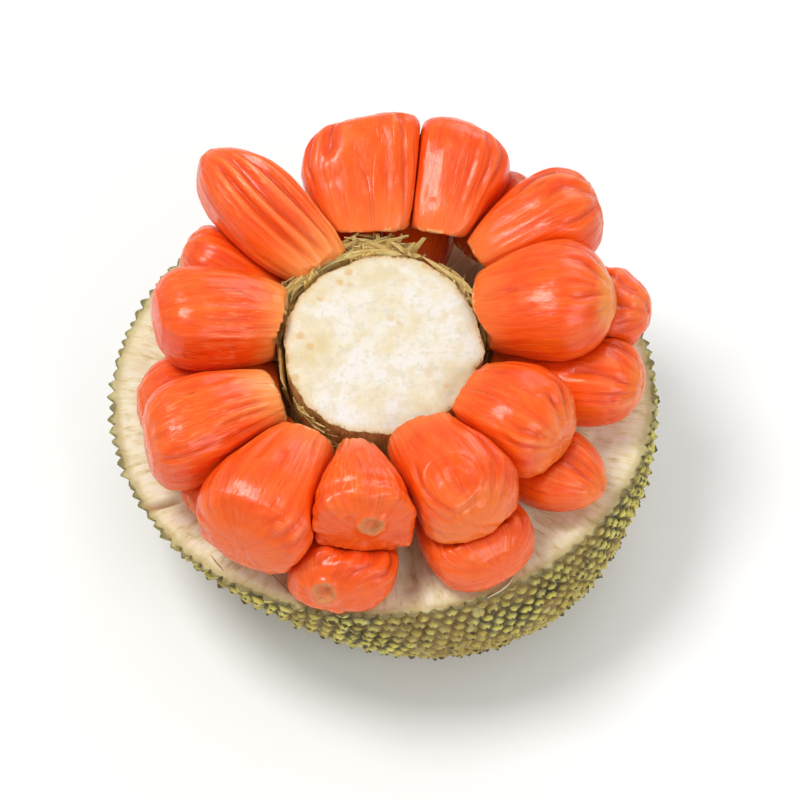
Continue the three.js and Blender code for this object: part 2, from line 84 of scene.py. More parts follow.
# What each pod's skin shows. tip and square set its outline; ridge is a fan of grooves over the
# sector (from, to) in degrees, count, depth, t from, t to; wrinkle is the gathering at the tip;
# grooves are single folds (angle, t from, t to, width, depth, bend); patch is a yellow tip;
# navel is (t, angle) of the scar where the pod's flower was.
# light sets how pale a pod's base is, how strong its thin dark lines are and how strong its painted highlight streaks
# are
STYLE = {
    "aril_upper_01": dict(slant=3, longer=-2.5, halves=((1, 1, 1.02, 0.95, 0.85), (1.08, 1.0, 0.98, 1.0, 1.1)), lip=9, tip=3.4, square=3.4, ridge=(40, 150, 9, 0.35, 0.05, 0.9), wrinkle=(7, 0.8),
                          grooves=[(62, 0.08, 0.97, 1.6, 1.0, 0.05), (118, 0.45, 1.0, 2.4, 1.6, -0.1), (142, 0.3, 0.95, 2.0, 1.0, 0.1)]),
    "aril_upper_02": dict(slant=-4, longer=-2.5, halves=((0.95, 1, 1, 1, 1), (0.9, 1, 1.08, 1.12, 1.05)), lip=8, tip=2.6, square=3.0, ridge=(50, 150, 12, 0.35, 0.1, 0.85), wrinkle=(9, 0.5),
                          grooves=[(60, 0.2, 0.98, 2.0, 1.1, -0.12), (38, 0.35, 0.98, 2.0, 1.0, -0.1)], glow=0.5),
    "aril_upper_03": dict(slant=-3, halves=((0.8, 1, 1.12, 1.16, 1.05), (1, 1.05, 1.05, 1.05, 1)), lip=6, tip=2.5, square=2.4, ridge=(50, 140, 10, 0.4, 0.1, 0.9), wrinkle=(8, 0.9),
                          grooves=[(110, 0.35, 1.0, 2.0, 1.3, 0.3), (80, 0.5, 1.0, 1.8, 1.2, 0.25), (60, 0.55, 1.0, 1.8, 1.1, -0.2), (135, 0.1, 0.7, 1.5, 0.7, 0.2)]),
    "aril_upper_04": dict(base=0.70, halves=((0.85, 1.02, 1.10, 1.06, 1), (1, 1, 1, 0.98, 0.95)), lip=2, tip=2.1, square=2.3, ridge=(60, 130, 9, 0.22, 0.45, 0.98), wrinkle=(9, 0.9), patch=0.9,
                          grooves=[(96, 0.6, 1.0, 1.5, 1.0, 0.15), (70, 0.62, 1.0, 1.4, 0.9, -0.15)]),
    "aril_upper_05": dict(lip=0, tilt=2, halves=((1.05, 1.05, 1.08, 1.06, 1), (1, 1, 1, 1, 1)), tip=2.6, square=2.6, ridge=(50, 140, 6, 0.2, 0.05, 0.5), wrinkle=(9, 1.5), patch=0.35,
                          grooves=[(116, 0.62, 1.0, 1.6, 1.0, 0.3), (92, 0.66, 1.0, 1.3, 1.2, 0.2), (64, 0.55, 1.0, 1.8, 0.9, -0.15), (42, 0.55, 1.0, 1.6, 0.9, -0.2)]),
    "aril_upper_06": dict(lip=0, tilt=3, widest=0.68, halves=((1, 1.05, 1.12, 1.16, 1.05), (1.1, 1, 0.96, 0.96, 1)), tip=2.5, square=2.6, ridge=(50, 140, 8, 0.16, 0.05, 0.6), wrinkle=(10, 1.3), patch=0.4,
                          dent=(0.79, 80, 11.5, 2.3), grooves=[(120, 0.3, 0.9, 1.6, 0.8, 0.2), (56, 0.4, 1.0, 1.6, 1.0, -0.2)]),
    "aril_upper_07": dict(lip=0, tilt=2, longer=-3, tip=2.7, square=2.3, widest=0.85, base=0.13, halves=((0.95, 0.84, 0.92, 1.04, 1.1), (0.95, 0.84, 0.92, 1.04, 1.06)),
                          ridge=(20, 160, 14, 0.6, 0.02, 0.88), wrinkle=(9, 1.2), navel=(0.9975, 112), light=0.8, flange=1.8,
                          grooves=[(50, 0.1, 0.75, 1.6, 1.0, -0.1), (132, 0.1, 0.75, 1.6, 1.0, 0.1)]),
    "aril_upper_08": dict(lip=0, tilt=3, widest=0.72, flange=0.6, halves=((0.95, 0.98, 1.0, 1.02, 1.0), (1.0, 1.0, 1.05, 1.07, 1.03)), tip=3.0, square=2.5, ridge=(40, 140, 10, 0.25, 0.25, 0.85), wrinkle=(9, 1.3),
                          grooves=[(70, 0.05, 0.6, 2.0, 0.5, 0.1), (100, 0.72, 1.0, 1.8, 0.7, 0.3), (130, 0.6, 1.0, 2.0, 0.7, 0.2)]),
    "aril_upper_09": dict(base=0.62, lip=0, widest=0.66, slant=-3, halves=((1, 1.05, 1.12, 1.16, 1.1), (1, 1, 1, 1, 1)), tip=3.0, square=2.8, ridge=(95, 170, 8, 0.8, 0.03, 0.72), wrinkle=(8, 0.8), light=1.0,
                          grooves=[(72, 0.2, 0.8, 2.2, 0.7, 0.1), (150, 0.1, 0.98, 1.8, 0.7, 0.0)]),
    "aril_upper_10": dict(base=0.66, slant=2, halves=((1, 1, 1, 1, 1), (0.95, 0.92, 0.92, 0.98, 1.05)), lip=1, tip=3.0, square=3.0, ridge=(50, 150, 12, 0.28, 0.05, 0.85), wrinkle=(8, 0.6), light=1.0,
                          grooves=[(118, 0.25, 0.85, 2.0, 0.8, 0.1), (84, 0.0, 0.45, 1.4, 0.8, 0.05)]),
    "aril_upper_11": dict(longer=8, widest=0.46, halves=((1, 1.02, 1.04, 0.98, 0.85), (0.95, 0.92, 0.88, 0.82, 0.78)), lip=8, tip=2.1, square=2.6, ridge=(40, 120, 7, 0.4, 0.03, 0.9), wrinkle=(7, 0.6), light=1.0,
                          grooves=[(106, 0.04, 0.93, 1.5, 2.3, 0.14), (88, 0.03, 0.90, 1.3, 2.2, 0.1), (71, 0.03, 0.88, 1.5, 2.0, 0.06), (52, 0.05, 0.8, 1.4, 1.4, 0.0)]),
    "aril_upper_12": dict(tip=2.4, square=2.4, ridge=(50, 150, 10, 0.5, 0.3, 0.98), wrinkle=(8, 0.8), light=0.3),
    "aril_lower_01": dict(tip=2.3, square=2.4, ridge=(70, 150, 9, 0.3, 0.4, 0.98), wrinkle=(8, 0.8), light=0.3),
    "aril_lower_02": dict(ridge=(50, 150, 8, 0.3, 0.2, 0.9), wrinkle=(8, 0.6)),
    "aril_lower_03": dict(tilt=3, widest=0.68, slant=2, halves=((1.0, 1.12, 1.26, 1.28, 1.2), (1, 1, 1, 1, 1)), longer=1, tip=2.6, square=2.5, ridge=(40, 140, 7, 0.4, 0.3, 1.0), wrinkle=(8, 0.8), patch=0.15, navel=(0.9985, 100),
                          grooves=[(75, 0.3, 1.0, 2.0, 0.9, 0.4), (110, 0.35, 1.0, 2.0, 1.0, 0.45), (140, 0.4, 0.95, 2.0, 0.9, 0.3)]),
    "aril_lower_04": dict(tilt=3, widest=0.68, tip=2.5, square=2.4, ridge=(50, 120, 8, 0.6, 0.45, 0.98), wrinkle=(8, 0.8), light=1.0,
                          grooves=[(135, 0.3, 0.95, 2.0, 1.3, 0.2), (112, 0.35, 0.95, 1.8, 1.1, 0.15)]),
    "aril_lower_05": dict(tip=1.8, square=2.2, ridge=(50, 140, 6, 0.3, 0.2, 0.9), wrinkle=(7, 0.7), patch=0.4, light=0.9,
                          grooves=[(100, 0.45, 1.0, 1.8, 1.2, -0.1), (72, 0.5, 1.0, 1.8, 1.3, 0.2)]),
    "aril_lower_06": dict(tip=2.3, square=2.4, ridge=(50, 120, 9, 0.4, 0.5, 1.0), wrinkle=(9, 1.2), patch=0.5,
                          grooves=[(60, 0.5, 1.0, 2.0, 1.4, 0.2), (120, 0.55, 1.0, 2.0, 1.3, -0.1)]),
    "aril_lower_07": dict(tip=2.3, square=2.3, ridge=(60, 150, 7, 0.3, 0.4, 1.0), wrinkle=(8, 1.3), ribs=0.7,
                          grooves=[(95, 0.4, 1.0, 2.2, 1.5, 0.3), (60, 0.5, 1.0, 2.0, 1.4, 0.2)]),
}


# ------------------------------------------------------------------ numbers
def smooth(x, a, b):
    x = np.clip((x - a) / (b - a), 0, 1)
    return x * x * (3 - 2 * x)


def smax(a, b, k):
    h = np.maximum(k - np.abs(a - b), 0) / k
    return np.maximum(a, b) + h * h * k * 0.25


_table = np.random.default_rng(11).uniform(-1, 1, 8192)


def noise3(p, size, seed=0.0):
    """Smooth noise from -1 to 1, with lumps about size mm across."""
    q = np.asarray(p, float) / size + seed * 19.19
    i = np.floor(q).astype(np.int64)
    f = q - i
    u = f * f * (3 - 2 * f)
    out = 0.0
    for a in (0, 1):
        for b in (0, 1):
            for c in (0, 1):
                h = ((i[..., 0] + a) * 73856093) ^ ((i[..., 1] + b) * 19349663) ^ ((i[..., 2] + c) * 83492791)
                w = (u[..., 0] if a else 1 - u[..., 0]) * (u[..., 1] if b else 1 - u[..., 1]) * (u[..., 2] if c else 1 - u[..., 2])
                out = out + w * _table[h & 8191]
    return out


def rim_radius(t):
    return RIM_RADIUS + 0.5 * np.cos(2 * t - 0.6) + 0.6 * np.cos(3 * t + 1.0)


def fullness(t):
    n = len(FULLNESS)
    x = ((t / (2 * PI)) * n + 4 * n) % n
    i = np.floor(x).astype(int)
    u = x - i
    a, b, c, d = (FULLNESS[(i + k + n) % n] for k in (-1, 0, 1, 2))
    return b + 0.5 * u * (c - a + u * (2 * a - 5 * b + 4 * c - d + u * (3 * (b - c) + d - a)))


def skin(t, q):
    """The mean skin; q is 0 at the rim and 1 at the edge of the rest, and below 0 above the cut."""
    n = fullness(t)
    t, q, n = np.broadcast_arrays(t, q, n)
    qq = np.clip(q, 0, 1)
    k = np.maximum(1 - qq**n, 0) ** (1 / n)
    r = REST_RADIUS + (rim_radius(t) - REST_RADIUS) * k
    w = qq**REST_SHIFT
    return np.stack([REST_CENTRE[0] * w + r * np.cos(t), REST_CENTRE[1] * w + r * np.sin(t), -BOWL_DEPTH * np.minimum(q, 1)], -1)


def pith_height(x, y):
    return -PITH_DISH * (1 - smooth(np.hypot(x, y), DISH_R0, DISH_R1))


# ------------------------------------------------------------------ meshes and finishes
def make_object(name, verts, faces, materials, attrs=None, face_mat=None, smooth_faces=True):
    """verts in mm in the working frame; faces a list of index arrays, each n by 3 or n by 4."""
    co = ((np.asarray(verts, float) - ORIGIN) / 1000.0).astype(np.float32)
    mesh = bpy.data.meshes.new(name)
    sizes = np.concatenate([np.full(len(f), f.shape[1]) for f in faces])
    loops = np.concatenate([f.reshape(-1) for f in faces]).astype(np.int32)
    mesh.vertices.add(len(co))
    mesh.vertices.foreach_set("co", co.reshape(-1))
    mesh.loops.add(len(loops))
    mesh.loops.foreach_set("vertex_index", loops)
    mesh.polygons.add(len(sizes))
    starts = np.concatenate([[0], np.cumsum(sizes)[:-1]]).astype(np.int32)
    mesh.polygons.foreach_set("loop_start", starts)
    if face_mat is not None:
        mesh.polygons.foreach_set("material_index", face_mat.astype(np.int32))
    sm = smooth_faces if isinstance(smooth_faces, np.ndarray) else np.full(len(sizes), smooth_faces)
    mesh.polygons.foreach_set("use_smooth", sm.astype(bool))
    for key, val in (attrs or {}).items():
        val = np.asarray(val, np.float32)
        if val.ndim == 2:
            a = mesh.attributes.new(key, "FLOAT_VECTOR", "POINT")
            a.data.foreach_set("vector", val.reshape(-1))
        else:
            a = mesh.attributes.new(key, "FLOAT", "POINT")
            a.data.foreach_set("value", val)
    mesh.update(calc_edges=True)
    mesh.validate()
    obj = bpy.data.objects.new(name, mesh)
    bpy.context.scene.collection.objects.link(obj)
    for m in materials:
        mesh.materials.append(m)
    return obj


def tube_faces(nt, nf):
    """A closed grid: pole, nt - 1 rings of nf, pole. Returns quads and triangles facing out for
    rings that turn from the side axis to the up axis as seen from the tip."""
    rings = nt - 1
    idx = 1 + np.arange(rings * nf).reshape(rings, nf)
    nxt = np.roll(idx, -1, axis=1)
    quads = np.stack([idx[:-1], nxt[:-1], nxt[1:], idx[1:]], -1).reshape(-1, 4)
    base = np.stack([np.zeros(nf, int), nxt[0], idx[0]], -1)
    last = 1 + rings * nf
    tip = np.stack([np.full(nf, last), idx[-1], nxt[-1]], -1)
    return quads, np.concatenate([base, tip])


# ------------------------------------------------------------------ materials
class Nodes:
    """A small builder for node materials."""

    def __init__(self, name):
        self.mat = bpy.data.materials.new(name)
        self.mat.use_nodes = True
        self.t = self.mat.node_tree
        self.t.nodes.clear()
        self.out = self.t.nodes.new("ShaderNodeOutputMaterial")
        self.bsdf = self.t.nodes.new("ShaderNodeBsdfPrincipled")
        self.t.links.new(self.bsdf.outputs[0], self.out.inputs[0])

    def link(self, a, b):
        self.t.links.new(a, b)

    def _in(self, socket, v):
        if isinstance(v, bpy.types.NodeSocket):
            self.link(v, socket)
        elif v is not None:
            socket.default_value = v

    def attr(self, name, vector=False):
        n = self.t.nodes.new("ShaderNodeAttribute")
        n.attribute_type = "GEOMETRY"
        n.attribute_name = name
        return n.outputs["Vector" if vector else "Fac"]

    def coords(self):
        return self.t.nodes.new("ShaderNodeTexCoord").outputs["Object"]

    def math(self, op, a, b=None, c=None, clamp=False):
        n = self.t.nodes.new("ShaderNodeMath")
        n.operation = op
        n.use_clamp = clamp
        for i, v in enumerate((a, b, c)):
            if v is not None:
                self._in(n.inputs[i], v)
        return n.outputs[0]

    def vmath(self, op, a, b=None, scale=None):
        n = self.t.nodes.new("ShaderNodeVectorMath")
        n.operation = op
        self._in(n.inputs[0], a)
        if b is not None:
            self._in(n.inputs[1], b)
        if scale is not None:
            n.inputs["Scale"].default_value = scale
        return n.outputs[0]

    def noise(self, vec, scale, detail=3.0, rough=0.55, distortion=0.0):
        n = self.t.nodes.new("ShaderNodeTexNoise")
        self._in(n.inputs["Vector"], vec)
        n.inputs["Scale"].default_value = scale
        n.inputs["Detail"].default_value = detail
        n.inputs["Roughness"].default_value = rough
        n.inputs["Distortion"].default_value = distortion
        return n.outputs["Fac"]

    def voronoi(self, vec, scale, feature="F1", randomness=1.0):
        n = self.t.nodes.new("ShaderNodeTexVoronoi")
        n.feature = feature
        self._in(n.inputs["Vector"], vec)
        n.inputs["Scale"].default_value = scale
        n.inputs["Randomness"].default_value = randomness
        return n.outputs["Distance"]

    def map(self, v, a, b, c=0.0, d=1.0, smoother=False):
        n = self.t.nodes.new("ShaderNodeMapRange")
        n.interpolation_type = "SMOOTHSTEP" if smoother else "LINEAR"
        self._in(n.inputs["Value"], v)
        for key, x in (("From Min", a), ("From Max", b), ("To Min", c), ("To Max", d)):
            n.inputs[key].default_value = x
        return n.outputs["Result"]

    def ramp(self, v, stops, mode="LINEAR"):
        n = self.t.nodes.new("ShaderNodeValToRGB")
        n.color_ramp.interpolation = mode
        e = n.color_ramp.elements
        while len(e) > 1:
            e.remove(e[-1])
        for i, (pos, col) in enumerate(stops):
            s = e[0] if i == 0 else e.new(pos)
            s.position = pos
            s.color = (*col, 1.0)
        self._in(n.inputs[0], v)
        return n.outputs[0]

    def mix(self, fac, a, b, mode="MIX"):
        n = self.t.nodes.new("ShaderNodeMix")
        n.data_type = "RGBA"
        n.blend_type = mode
        n.clamp_factor = True
        self._in(n.inputs[0], fac)
        for sock, v in ((n.inputs[6], a), (n.inputs[7], b)):
            if isinstance(v, tuple):
                sock.default_value = (*v, 1.0)
            else:
                self._in(sock, v)
        return n.outputs[2]

    def bump(self, height, strength, distance, normal=None):
        n = self.t.nodes.new("ShaderNodeBump")
        n.inputs["Strength"].default_value = strength
        n.inputs["Distance"].default_value = distance
        self._in(n.inputs["Height"], height)
        if normal is not None:
            self.link(normal, n.inputs["Normal"])
        return n.outputs[0]

    def set(self, **kw):
        for k, v in kw.items():
            s = self.bsdf.inputs[k.replace("_", " ")]
            if isinstance(v, tuple) and len(v) == 3 and k.endswith("Color"):
                s.default_value = (*v, 1.0)
            else:
                self._in(s, v)


def aril_material():
    n = Nodes("aril_flesh")
    t, grain, crease_shade, own = n.attr("along"), n.attr("grain", True), n.attr("crease_shade"), n.attr("own")
    light, patch, glow = n.attr("light"), n.attr("patch"), n.attr("scar")
    obj = n.coords()
    # long fibres: noise stretched along the pod
    fine = n.noise(grain, 9.0, 4.0, 0.6)
    finer = n.noise(grain, 17.0, 3.0, 0.6)
    broad = n.noise(grain, 2.6, 3.0, 0.55, 0.4)
    cloud = n.noise(obj, 38.0, 3.0, 0.55)
    body = n.ramp(n.math("ADD", n.math("MULTIPLY", broad, 0.62), n.math("MULTIPLY", cloud, 0.38)),
                  [(0.30, (0.76, 0.046, 0.001)), (0.45, (0.90, 0.080, 0.001)), (0.58, (0.95, 0.116, 0.002)), (0.76, (0.98, 0.165, 0.005))])
    open_tip = n.map(t, 0.84, 0.97, 1.0, 0.15, True)
    body = n.mix(n.math("MULTIPLY", n.map(fine, 0.44, 0.70, 0.0, 0.34), open_tip), body, (1.0, 0.23, 0.045))
    body = n.mix(n.map(own, 0.0, 1.0, 0.0, 0.28), body, (0.88, 0.072, 0.005))
    # painted shade: the faces pressed against neighbouring pods are painted deeper red
    body = n.mix(n.math("MULTIPLY", n.attr("contact_shade"), 0.55), body, (0.74, 0.038, 0.002))
    # the flesh pales to orange and yellow towards its base
    edge = n.math("ADD", t, n.math("MULTIPLY", n.math("SUBTRACT", n.noise(grain, 4.0, 3.0), 0.5), 0.14))
    pale = n.math("MULTIPLY", n.map(edge, 0.36, 0.03, 0.0, 1.0, True), n.math("ADD", light, 0.12, clamp=True))
    body = n.mix(pale, body, (0.95, 0.30, 0.060))
    body = n.mix(n.map(edge, 0.030, 0.004, 0.0, 0.85, True), body, (0.90, 0.52, 0.20))
    # yellow, drier tips on some
    dry = n.math("MULTIPLY", n.map(n.math("ADD", t, n.math("MULTIPLY", cloud, 0.16)), 0.95, 1.06, 0.0, 1.0, True), patch)
    body = n.mix(dry, body, (0.92, 0.30, 0.050))
    # painted highlight: the raised crests of the relief are painted paler, as sheen on the ridges
    body = n.mix(n.math("MULTIPLY", n.attr("crest"), 0.5), body, (1.0, 0.27, 0.075))
    # thin lines where one fibre bundle meets the next
    lines = n.noise(n.vmath("MULTIPLY", grain, (1.0, 1.0, 0.2)), 4.2, 2.0, 0.5, 0.0)
    thin = n.map(n.math("ABSOLUTE", n.math("SUBTRACT", lines, 0.5)), 0.0, 0.012, 1.0, 0.0)
    thin = n.math("MULTIPLY", thin, n.map(n.noise(obj, 55.0, 2.0), 0.44, 0.60, 0.0, 1.0), clamp=True)
    # painted highlight: pale streaks along the fibres on pods with light set, standing in for their broken sheen
    painted_sheen_streaks = n.math("MULTIPLY", n.math("MULTIPLY", n.map(finer, 0.52, 0.66, 0.0, 0.75, True), n.map(n.noise(obj, 26.0, 2.0), 0.42, 0.60, 0.0, 1.0)), n.math("MULTIPLY", light, open_tip))
    body = n.mix(n.math("MULTIPLY", painted_sheen_streaks, 0.60, clamp=True), body, (1.0, 0.40, 0.16))
    body = n.mix(n.math("MULTIPLY", thin, n.math("ADD", 0.30, n.math("MULTIPLY", light, 0.35))), body, (0.34, 0.030, 0.008))
    body = n.mix(n.map(glow, 0.0, 1.0), body, (0.72, 0.28, 0.10))
    # painted shade: the grooves, the gathers at the tip and its creases are painted dark red
    body = n.mix(n.math("MULTIPLY", crease_shade, 0.62, clamp=True), body, (0.50, 0.028, 0.005))
    h = n.math("ADD", n.math("MULTIPLY", fine, 0.62), n.math("MULTIPLY", finer, 0.38))
    h = n.math("SUBTRACT", h, n.math("MULTIPLY", thin, 0.35))
    normal = n.bump(n.math("MULTIPLY", h, open_tip), 0.50, 0.0009)
    normal = n.bump(n.noise(obj, 260.0, 3.0, 0.6), 0.20, 0.0006, normal)
    normal = n.bump(n.math("MULTIPLY", n.noise(obj, 120.0, 3.0, 0.6, 1.2), n.map(t, 0.75, 0.95, 0.0, 1.0)), 0.35, 0.0012, normal)
    crumb = n.noise(obj, 900.0, 3.0, 0.7)
    normal = n.bump(n.math("MULTIPLY", crumb, glow), 0.9, 0.0008, normal)
    rough = n.math("ADD", n.map(n.noise(grain, 5.0, 3.0), 0.3, 0.7, 0.19, 0.36), n.math("MULTIPLY", glow, 0.4), clamp=True)
    n.set(Base_Color=body, Roughness=rough, Normal=normal, IOR=1.42, Specular_IOR_Level=0.48,
          Subsurface_Weight=0.14, Subsurface_Scale=0.004, Subsurface_Radius=(1.0, 0.25, 0.07),
          Coat_Weight=0.26, Coat_Roughness=0.11, Coat_IOR=1.4)
    return n.mat


def skin_material():
    n = Nodes("rind_skin")
    h, own = n.attr("spike"), n.attr("own")
    obj = n.coords()
    patchy = n.noise(obj, 20.0, 4.0, 0.6)
    grime = n.noise(obj, 60.0, 4.0, 0.65)
    speck = n.noise(obj, 420.0, 3.0)
    # the knobs' colour by their height: the dark low stops are painted shade in the valleys between the knobs; the
    # olive flanks and brown points are their own colour
    knob_tone_and_valley_shade = n.ramp(n.math("ADD", h, n.math("MULTIPLY", n.math("SUBTRACT", speck, 0.5), 0.16)),
                   [(0.0, (0.022, 0.014, 0.005)), (0.16, (0.060, 0.042, 0.010)), (0.30, (0.16, 0.125, 0.022)), (0.46, (0.62, 0.53, 0.085)), (0.76, (0.86, 0.80, 0.20)), (1.0, (0.50, 0.34, 0.08))])
    col = n.mix(n.map(own, 0.35, 1.0, 0.0, 0.55), knob_tone_and_valley_shade, n.mix(0.6, knob_tone_and_valley_shade, (0.62, 0.56, 0.24)))
    col = n.mix(n.map(own, 0.30, 0.0, 0.0, 0.60), col, n.mix(0.8, col, (0.62, 0.44, 0.24), "MULTIPLY"))
    col = n.mix(n.map(patchy, 0.43, 0.58, 0.0, 0.62, True), col, (0.40, 0.26, 0.075))
    col = n.mix(n.map(grime, 0.56, 0.70, 0.0, 0.8, True), col, (0.075, 0.047, 0.026))
    # scuffs and bruises smaller than a knob
    col = n.mix(n.map(n.noise(obj, 190.0, 4.0, 0.65, 0.6), 0.53, 0.66, 0.0, 0.62, True), col, (0.15, 0.095, 0.032))
    col = n.mix(n.map(n.noise(obj, 150.0, 3.0, 0.6, 0.3), 0.56, 0.70, 0.0, 0.45, True), col, (0.80, 0.76, 0.34))
    tip = n.math("ADD", h, n.math("MULTIPLY", n.math("SUBTRACT", n.noise(obj, 320.0, 2.0), 0.5), 0.30))
    col = n.mix(n.map(n.math("ADD", tip, n.math("MULTIPLY", n.math("SUBTRACT", own, 0.5), 0.25)), 0.72, 0.86, 0.0, 0.90, True), col, (0.055, 0.030, 0.014))
    col = n.mix(n.map(speck, 0.58, 0.72, 0.0, 0.35), col, (0.56, 0.50, 0.25))
    normal = n.bump(n.noise(obj, 700.0, 4.0, 0.65), 0.6, 0.0008)
    normal = n.bump(n.noise(obj, 240.0, 2.0, 0.5), 0.5, 0.0012, normal)
    n.set(Base_Color=col, Roughness=n.map(grime, 0.3, 0.7, 0.5, 0.75), Normal=normal, Specular_IOR_Level=0.4)
    return n.mat


def pith_material():
    n = Nodes("pith_cut")
    obj, grain, rim, stain_and_shade = n.coords(), n.attr("grain", True), n.attr("rim"), n.attr("stain_and_shade")
    streak = n.noise(grain, 5.0, 5.0, 0.62, 0.3)
    cloud = n.noise(obj, 30.0, 4.0, 0.6)
    col = n.ramp(streak, [(0.28, (0.55, 0.46, 0.20)), (0.41, (0.80, 0.77, 0.48)), (0.53, (0.90, 0.91, 0.68)), (0.74, (0.92, 0.95, 0.80))])
    col = n.mix(n.map(cloud, 0.50, 0.72, 0.0, 0.45, True), col, (0.74, 0.62, 0.34))
    col = n.mix(n.map(n.noise(obj, 75.0, 3.0), 0.58, 0.76, 0.0, 0.55, True), col, (0.55, 0.50, 0.20))
    near = n.math("ADD", rim, n.math("MULTIPLY", n.math("SUBTRACT", n.noise(obj, 120.0, 3.0), 0.5), 5.0))
    col = n.mix(n.map(near, 9.0, 2.0, 0.0, 0.45, True), col, (0.66, 0.58, 0.28))
    col = n.mix(n.map(near, 5.0, 0.5, 0.0, 0.75, True), col, (0.45, 0.40, 0.14))
    col = n.mix(n.map(near, 1.3, 0.2, 0.0, 0.8, True), col, (0.20, 0.16, 0.06))
    # painted shade and stains: dark brown round the core and under the pods, where the gaps fall in shade, dark inside
    # the notches, and the brown of the fibres lying on the cut
    col = n.mix(n.map(stain_and_shade, 0.0, 1.0, 0.0, 0.92), col, n.mix(streak, (0.17, 0.060, 0.018), (0.56, 0.32, 0.10)))
    h = n.math("ADD", n.math("MULTIPLY", streak, 0.7), n.math("MULTIPLY", n.noise(grain, 16.0, 3.0, 0.6), 0.3))
    normal = n.bump(h, 0.55, 0.0010)
    normal = n.bump(n.noise(obj, 500.0, 3.0, 0.6), 0.3, 0.0005, normal)
    n.set(Base_Color=col, Roughness=0.58, Normal=normal, Specular_IOR_Level=0.35,
          Subsurface_Weight=0.06, Subsurface_Scale=0.003, Subsurface_Radius=(1.0, 0.85, 0.6))
    return n.mat


def core_material():
    n = Nodes("core_cut")
    obj, grain, side, rim = n.coords(), n.attr("grain", True), n.attr("side"), n.attr("rim")
    cloud = n.noise(obj, 24.0, 4.0, 0.6)
    fleck = n.noise(obj, 130.0, 4.0, 0.65)
    crumb = n.noise(obj, 420.0, 4.0, 0.7)
    spots = n.voronoi(obj, 105.0)
    top = n.ramp(cloud, [(0.36, (0.78, 0.77, 0.75)), (0.48, (0.79, 0.75, 0.68)), (0.56, (0.76, 0.68, 0.50)), (0.66, (0.70, 0.57, 0.32))])
    top = n.mix(n.map(fleck, 0.50, 0.62, 0.0, 0.55, True), top, (0.70, 0.60, 0.38))
    top = n.mix(n.map(n.noise(obj, 210.0, 4.0, 0.7), 0.52, 0.62, 0.0, 0.45, True), top, (0.60, 0.60, 0.48))
    top = n.mix(n.math("MULTIPLY", n.map(spots, 0.32, 0.14, 0.0, 0.75, True), n.map(n.noise(obj, 32.0, 2.0), 0.50, 0.58, 0.0, 1.0)), top, (0.68, 0.43, 0.18))
    top = n.mix(n.map(crumb, 0.50, 0.66, 0.0, 0.40, True), top, (0.68, 0.60, 0.46))
    near = n.math("ADD", rim, n.math("MULTIPLY", n.math("SUBTRACT", n.math("ADD", n.math("MULTIPLY", fleck, 0.5), n.math("MULTIPLY", crumb, 0.5)), 0.5), 12.0))
    top = n.mix(n.map(near, 5.0, 0.3, 0.0, 0.7, True), top, (0.66, 0.46, 0.20))
    top = n.mix(n.map(near, 1.2, 0.1, 0.0, 0.75, True), top, (0.36, 0.19, 0.06))
    crack = n.map(n.math("ABSOLUTE", n.math("SUBTRACT", n.noise(obj, 21.0, 3.0, 0.55, 0.5), 0.5)), 0.0, 0.0045, 1.0, 0.0)
    crack = n.math("MULTIPLY", crack, n.map(n.noise(obj, 47.0, 2.0), 0.56, 0.64, 0.0, 1.0))
    top = n.mix(n.math("MULTIPLY", crack, 0.55, clamp=True), top, (0.36, 0.30, 0.15))
    streak = n.noise(grain, 7.0, 5.0, 0.65, 0.3)
    wall = n.ramp(streak, [(0.28, (0.38, 0.14, 0.035)), (0.41, (0.74, 0.38, 0.10)), (0.55, (0.94, 0.64, 0.24)), (0.76, (0.97, 0.82, 0.46))])
    col = n.mix(side, top, wall)
    scratch = n.noise(n.vmath("MULTIPLY", obj, (1.0, 0.12, 1.0)), 380.0, 2.0, 0.5, 0.6)
    h = n.math("ADD", n.math("MULTIPLY", n.math("ADD", fleck, crumb), 0.5), n.math("MULTIPLY", scratch, 0.4))
    normal = n.bump(h, 0.6, 0.0009)
    normal = n.bump(n.math("MULTIPLY", streak, side), 0.9, 0.0014, normal)
    n.set(Base_Color=col, Roughness=0.66, Normal=normal, Specular_IOR_Level=0.3,
          Subsurface_Weight=0.12, Subsurface_Scale=0.003, Subsurface_Radius=(1.0, 0.75, 0.45))
    return n.mat


def rag_material():
    n = Nodes("rag_fibre")
    obj, grain, own = n.coords(), n.attr("grain", True), n.attr("own")
    streak = n.noise(grain, 6.0, 5.0, 0.65, 0.2)
    col = n.ramp(streak, [(0.28, (0.46, 0.20, 0.045)), (0.42, (0.84, 0.55, 0.15)), (0.56, (0.96, 0.76, 0.32)), (0.76, (0.98, 0.88, 0.56))])
    col = n.mix(n.map(own, 0.15, 1.0, 0.0, 0.85), col, n.mix(streak, (0.26, 0.08, 0.015), (0.74, 0.46, 0.07)))
    n.set(Base_Color=col, Roughness=0.6, Normal=n.bump(streak, 0.6, 0.0008), Specular_IOR_Level=0.35,
          Subsurface_Weight=0.25, Subsurface_Scale=0.002, Subsurface_Radius=(1.0, 0.75, 0.4))
    return n.mat


MAT_ARIL, MAT_SKIN, MAT_PITH, MAT_CORE, MAT_RAG = aril_material(), skin_material(), pith_material(), core_material(), rag_material()

# ------------------------------------------------------------------ core
core_axis = (CORE_TOP - CORE_FOOT) / np.linalg.norm(CORE_TOP - CORE_FOOT)
core_length = np.linalg.norm(CORE_TOP - CORE_FOOT)
core_x = np.array([1.0, 0, 0])
core_y = np.cross(core_axis, core_x)


def core_field(p):
    q = p - CORE_FOOT
    r = np.hypot(q @ core_x / CORE_RX, q @ core_y / CORE_RY)
    return np.maximum((r - 1) * 0.5 * (CORE_RX + CORE_RY), q @ core_axis - core_length)


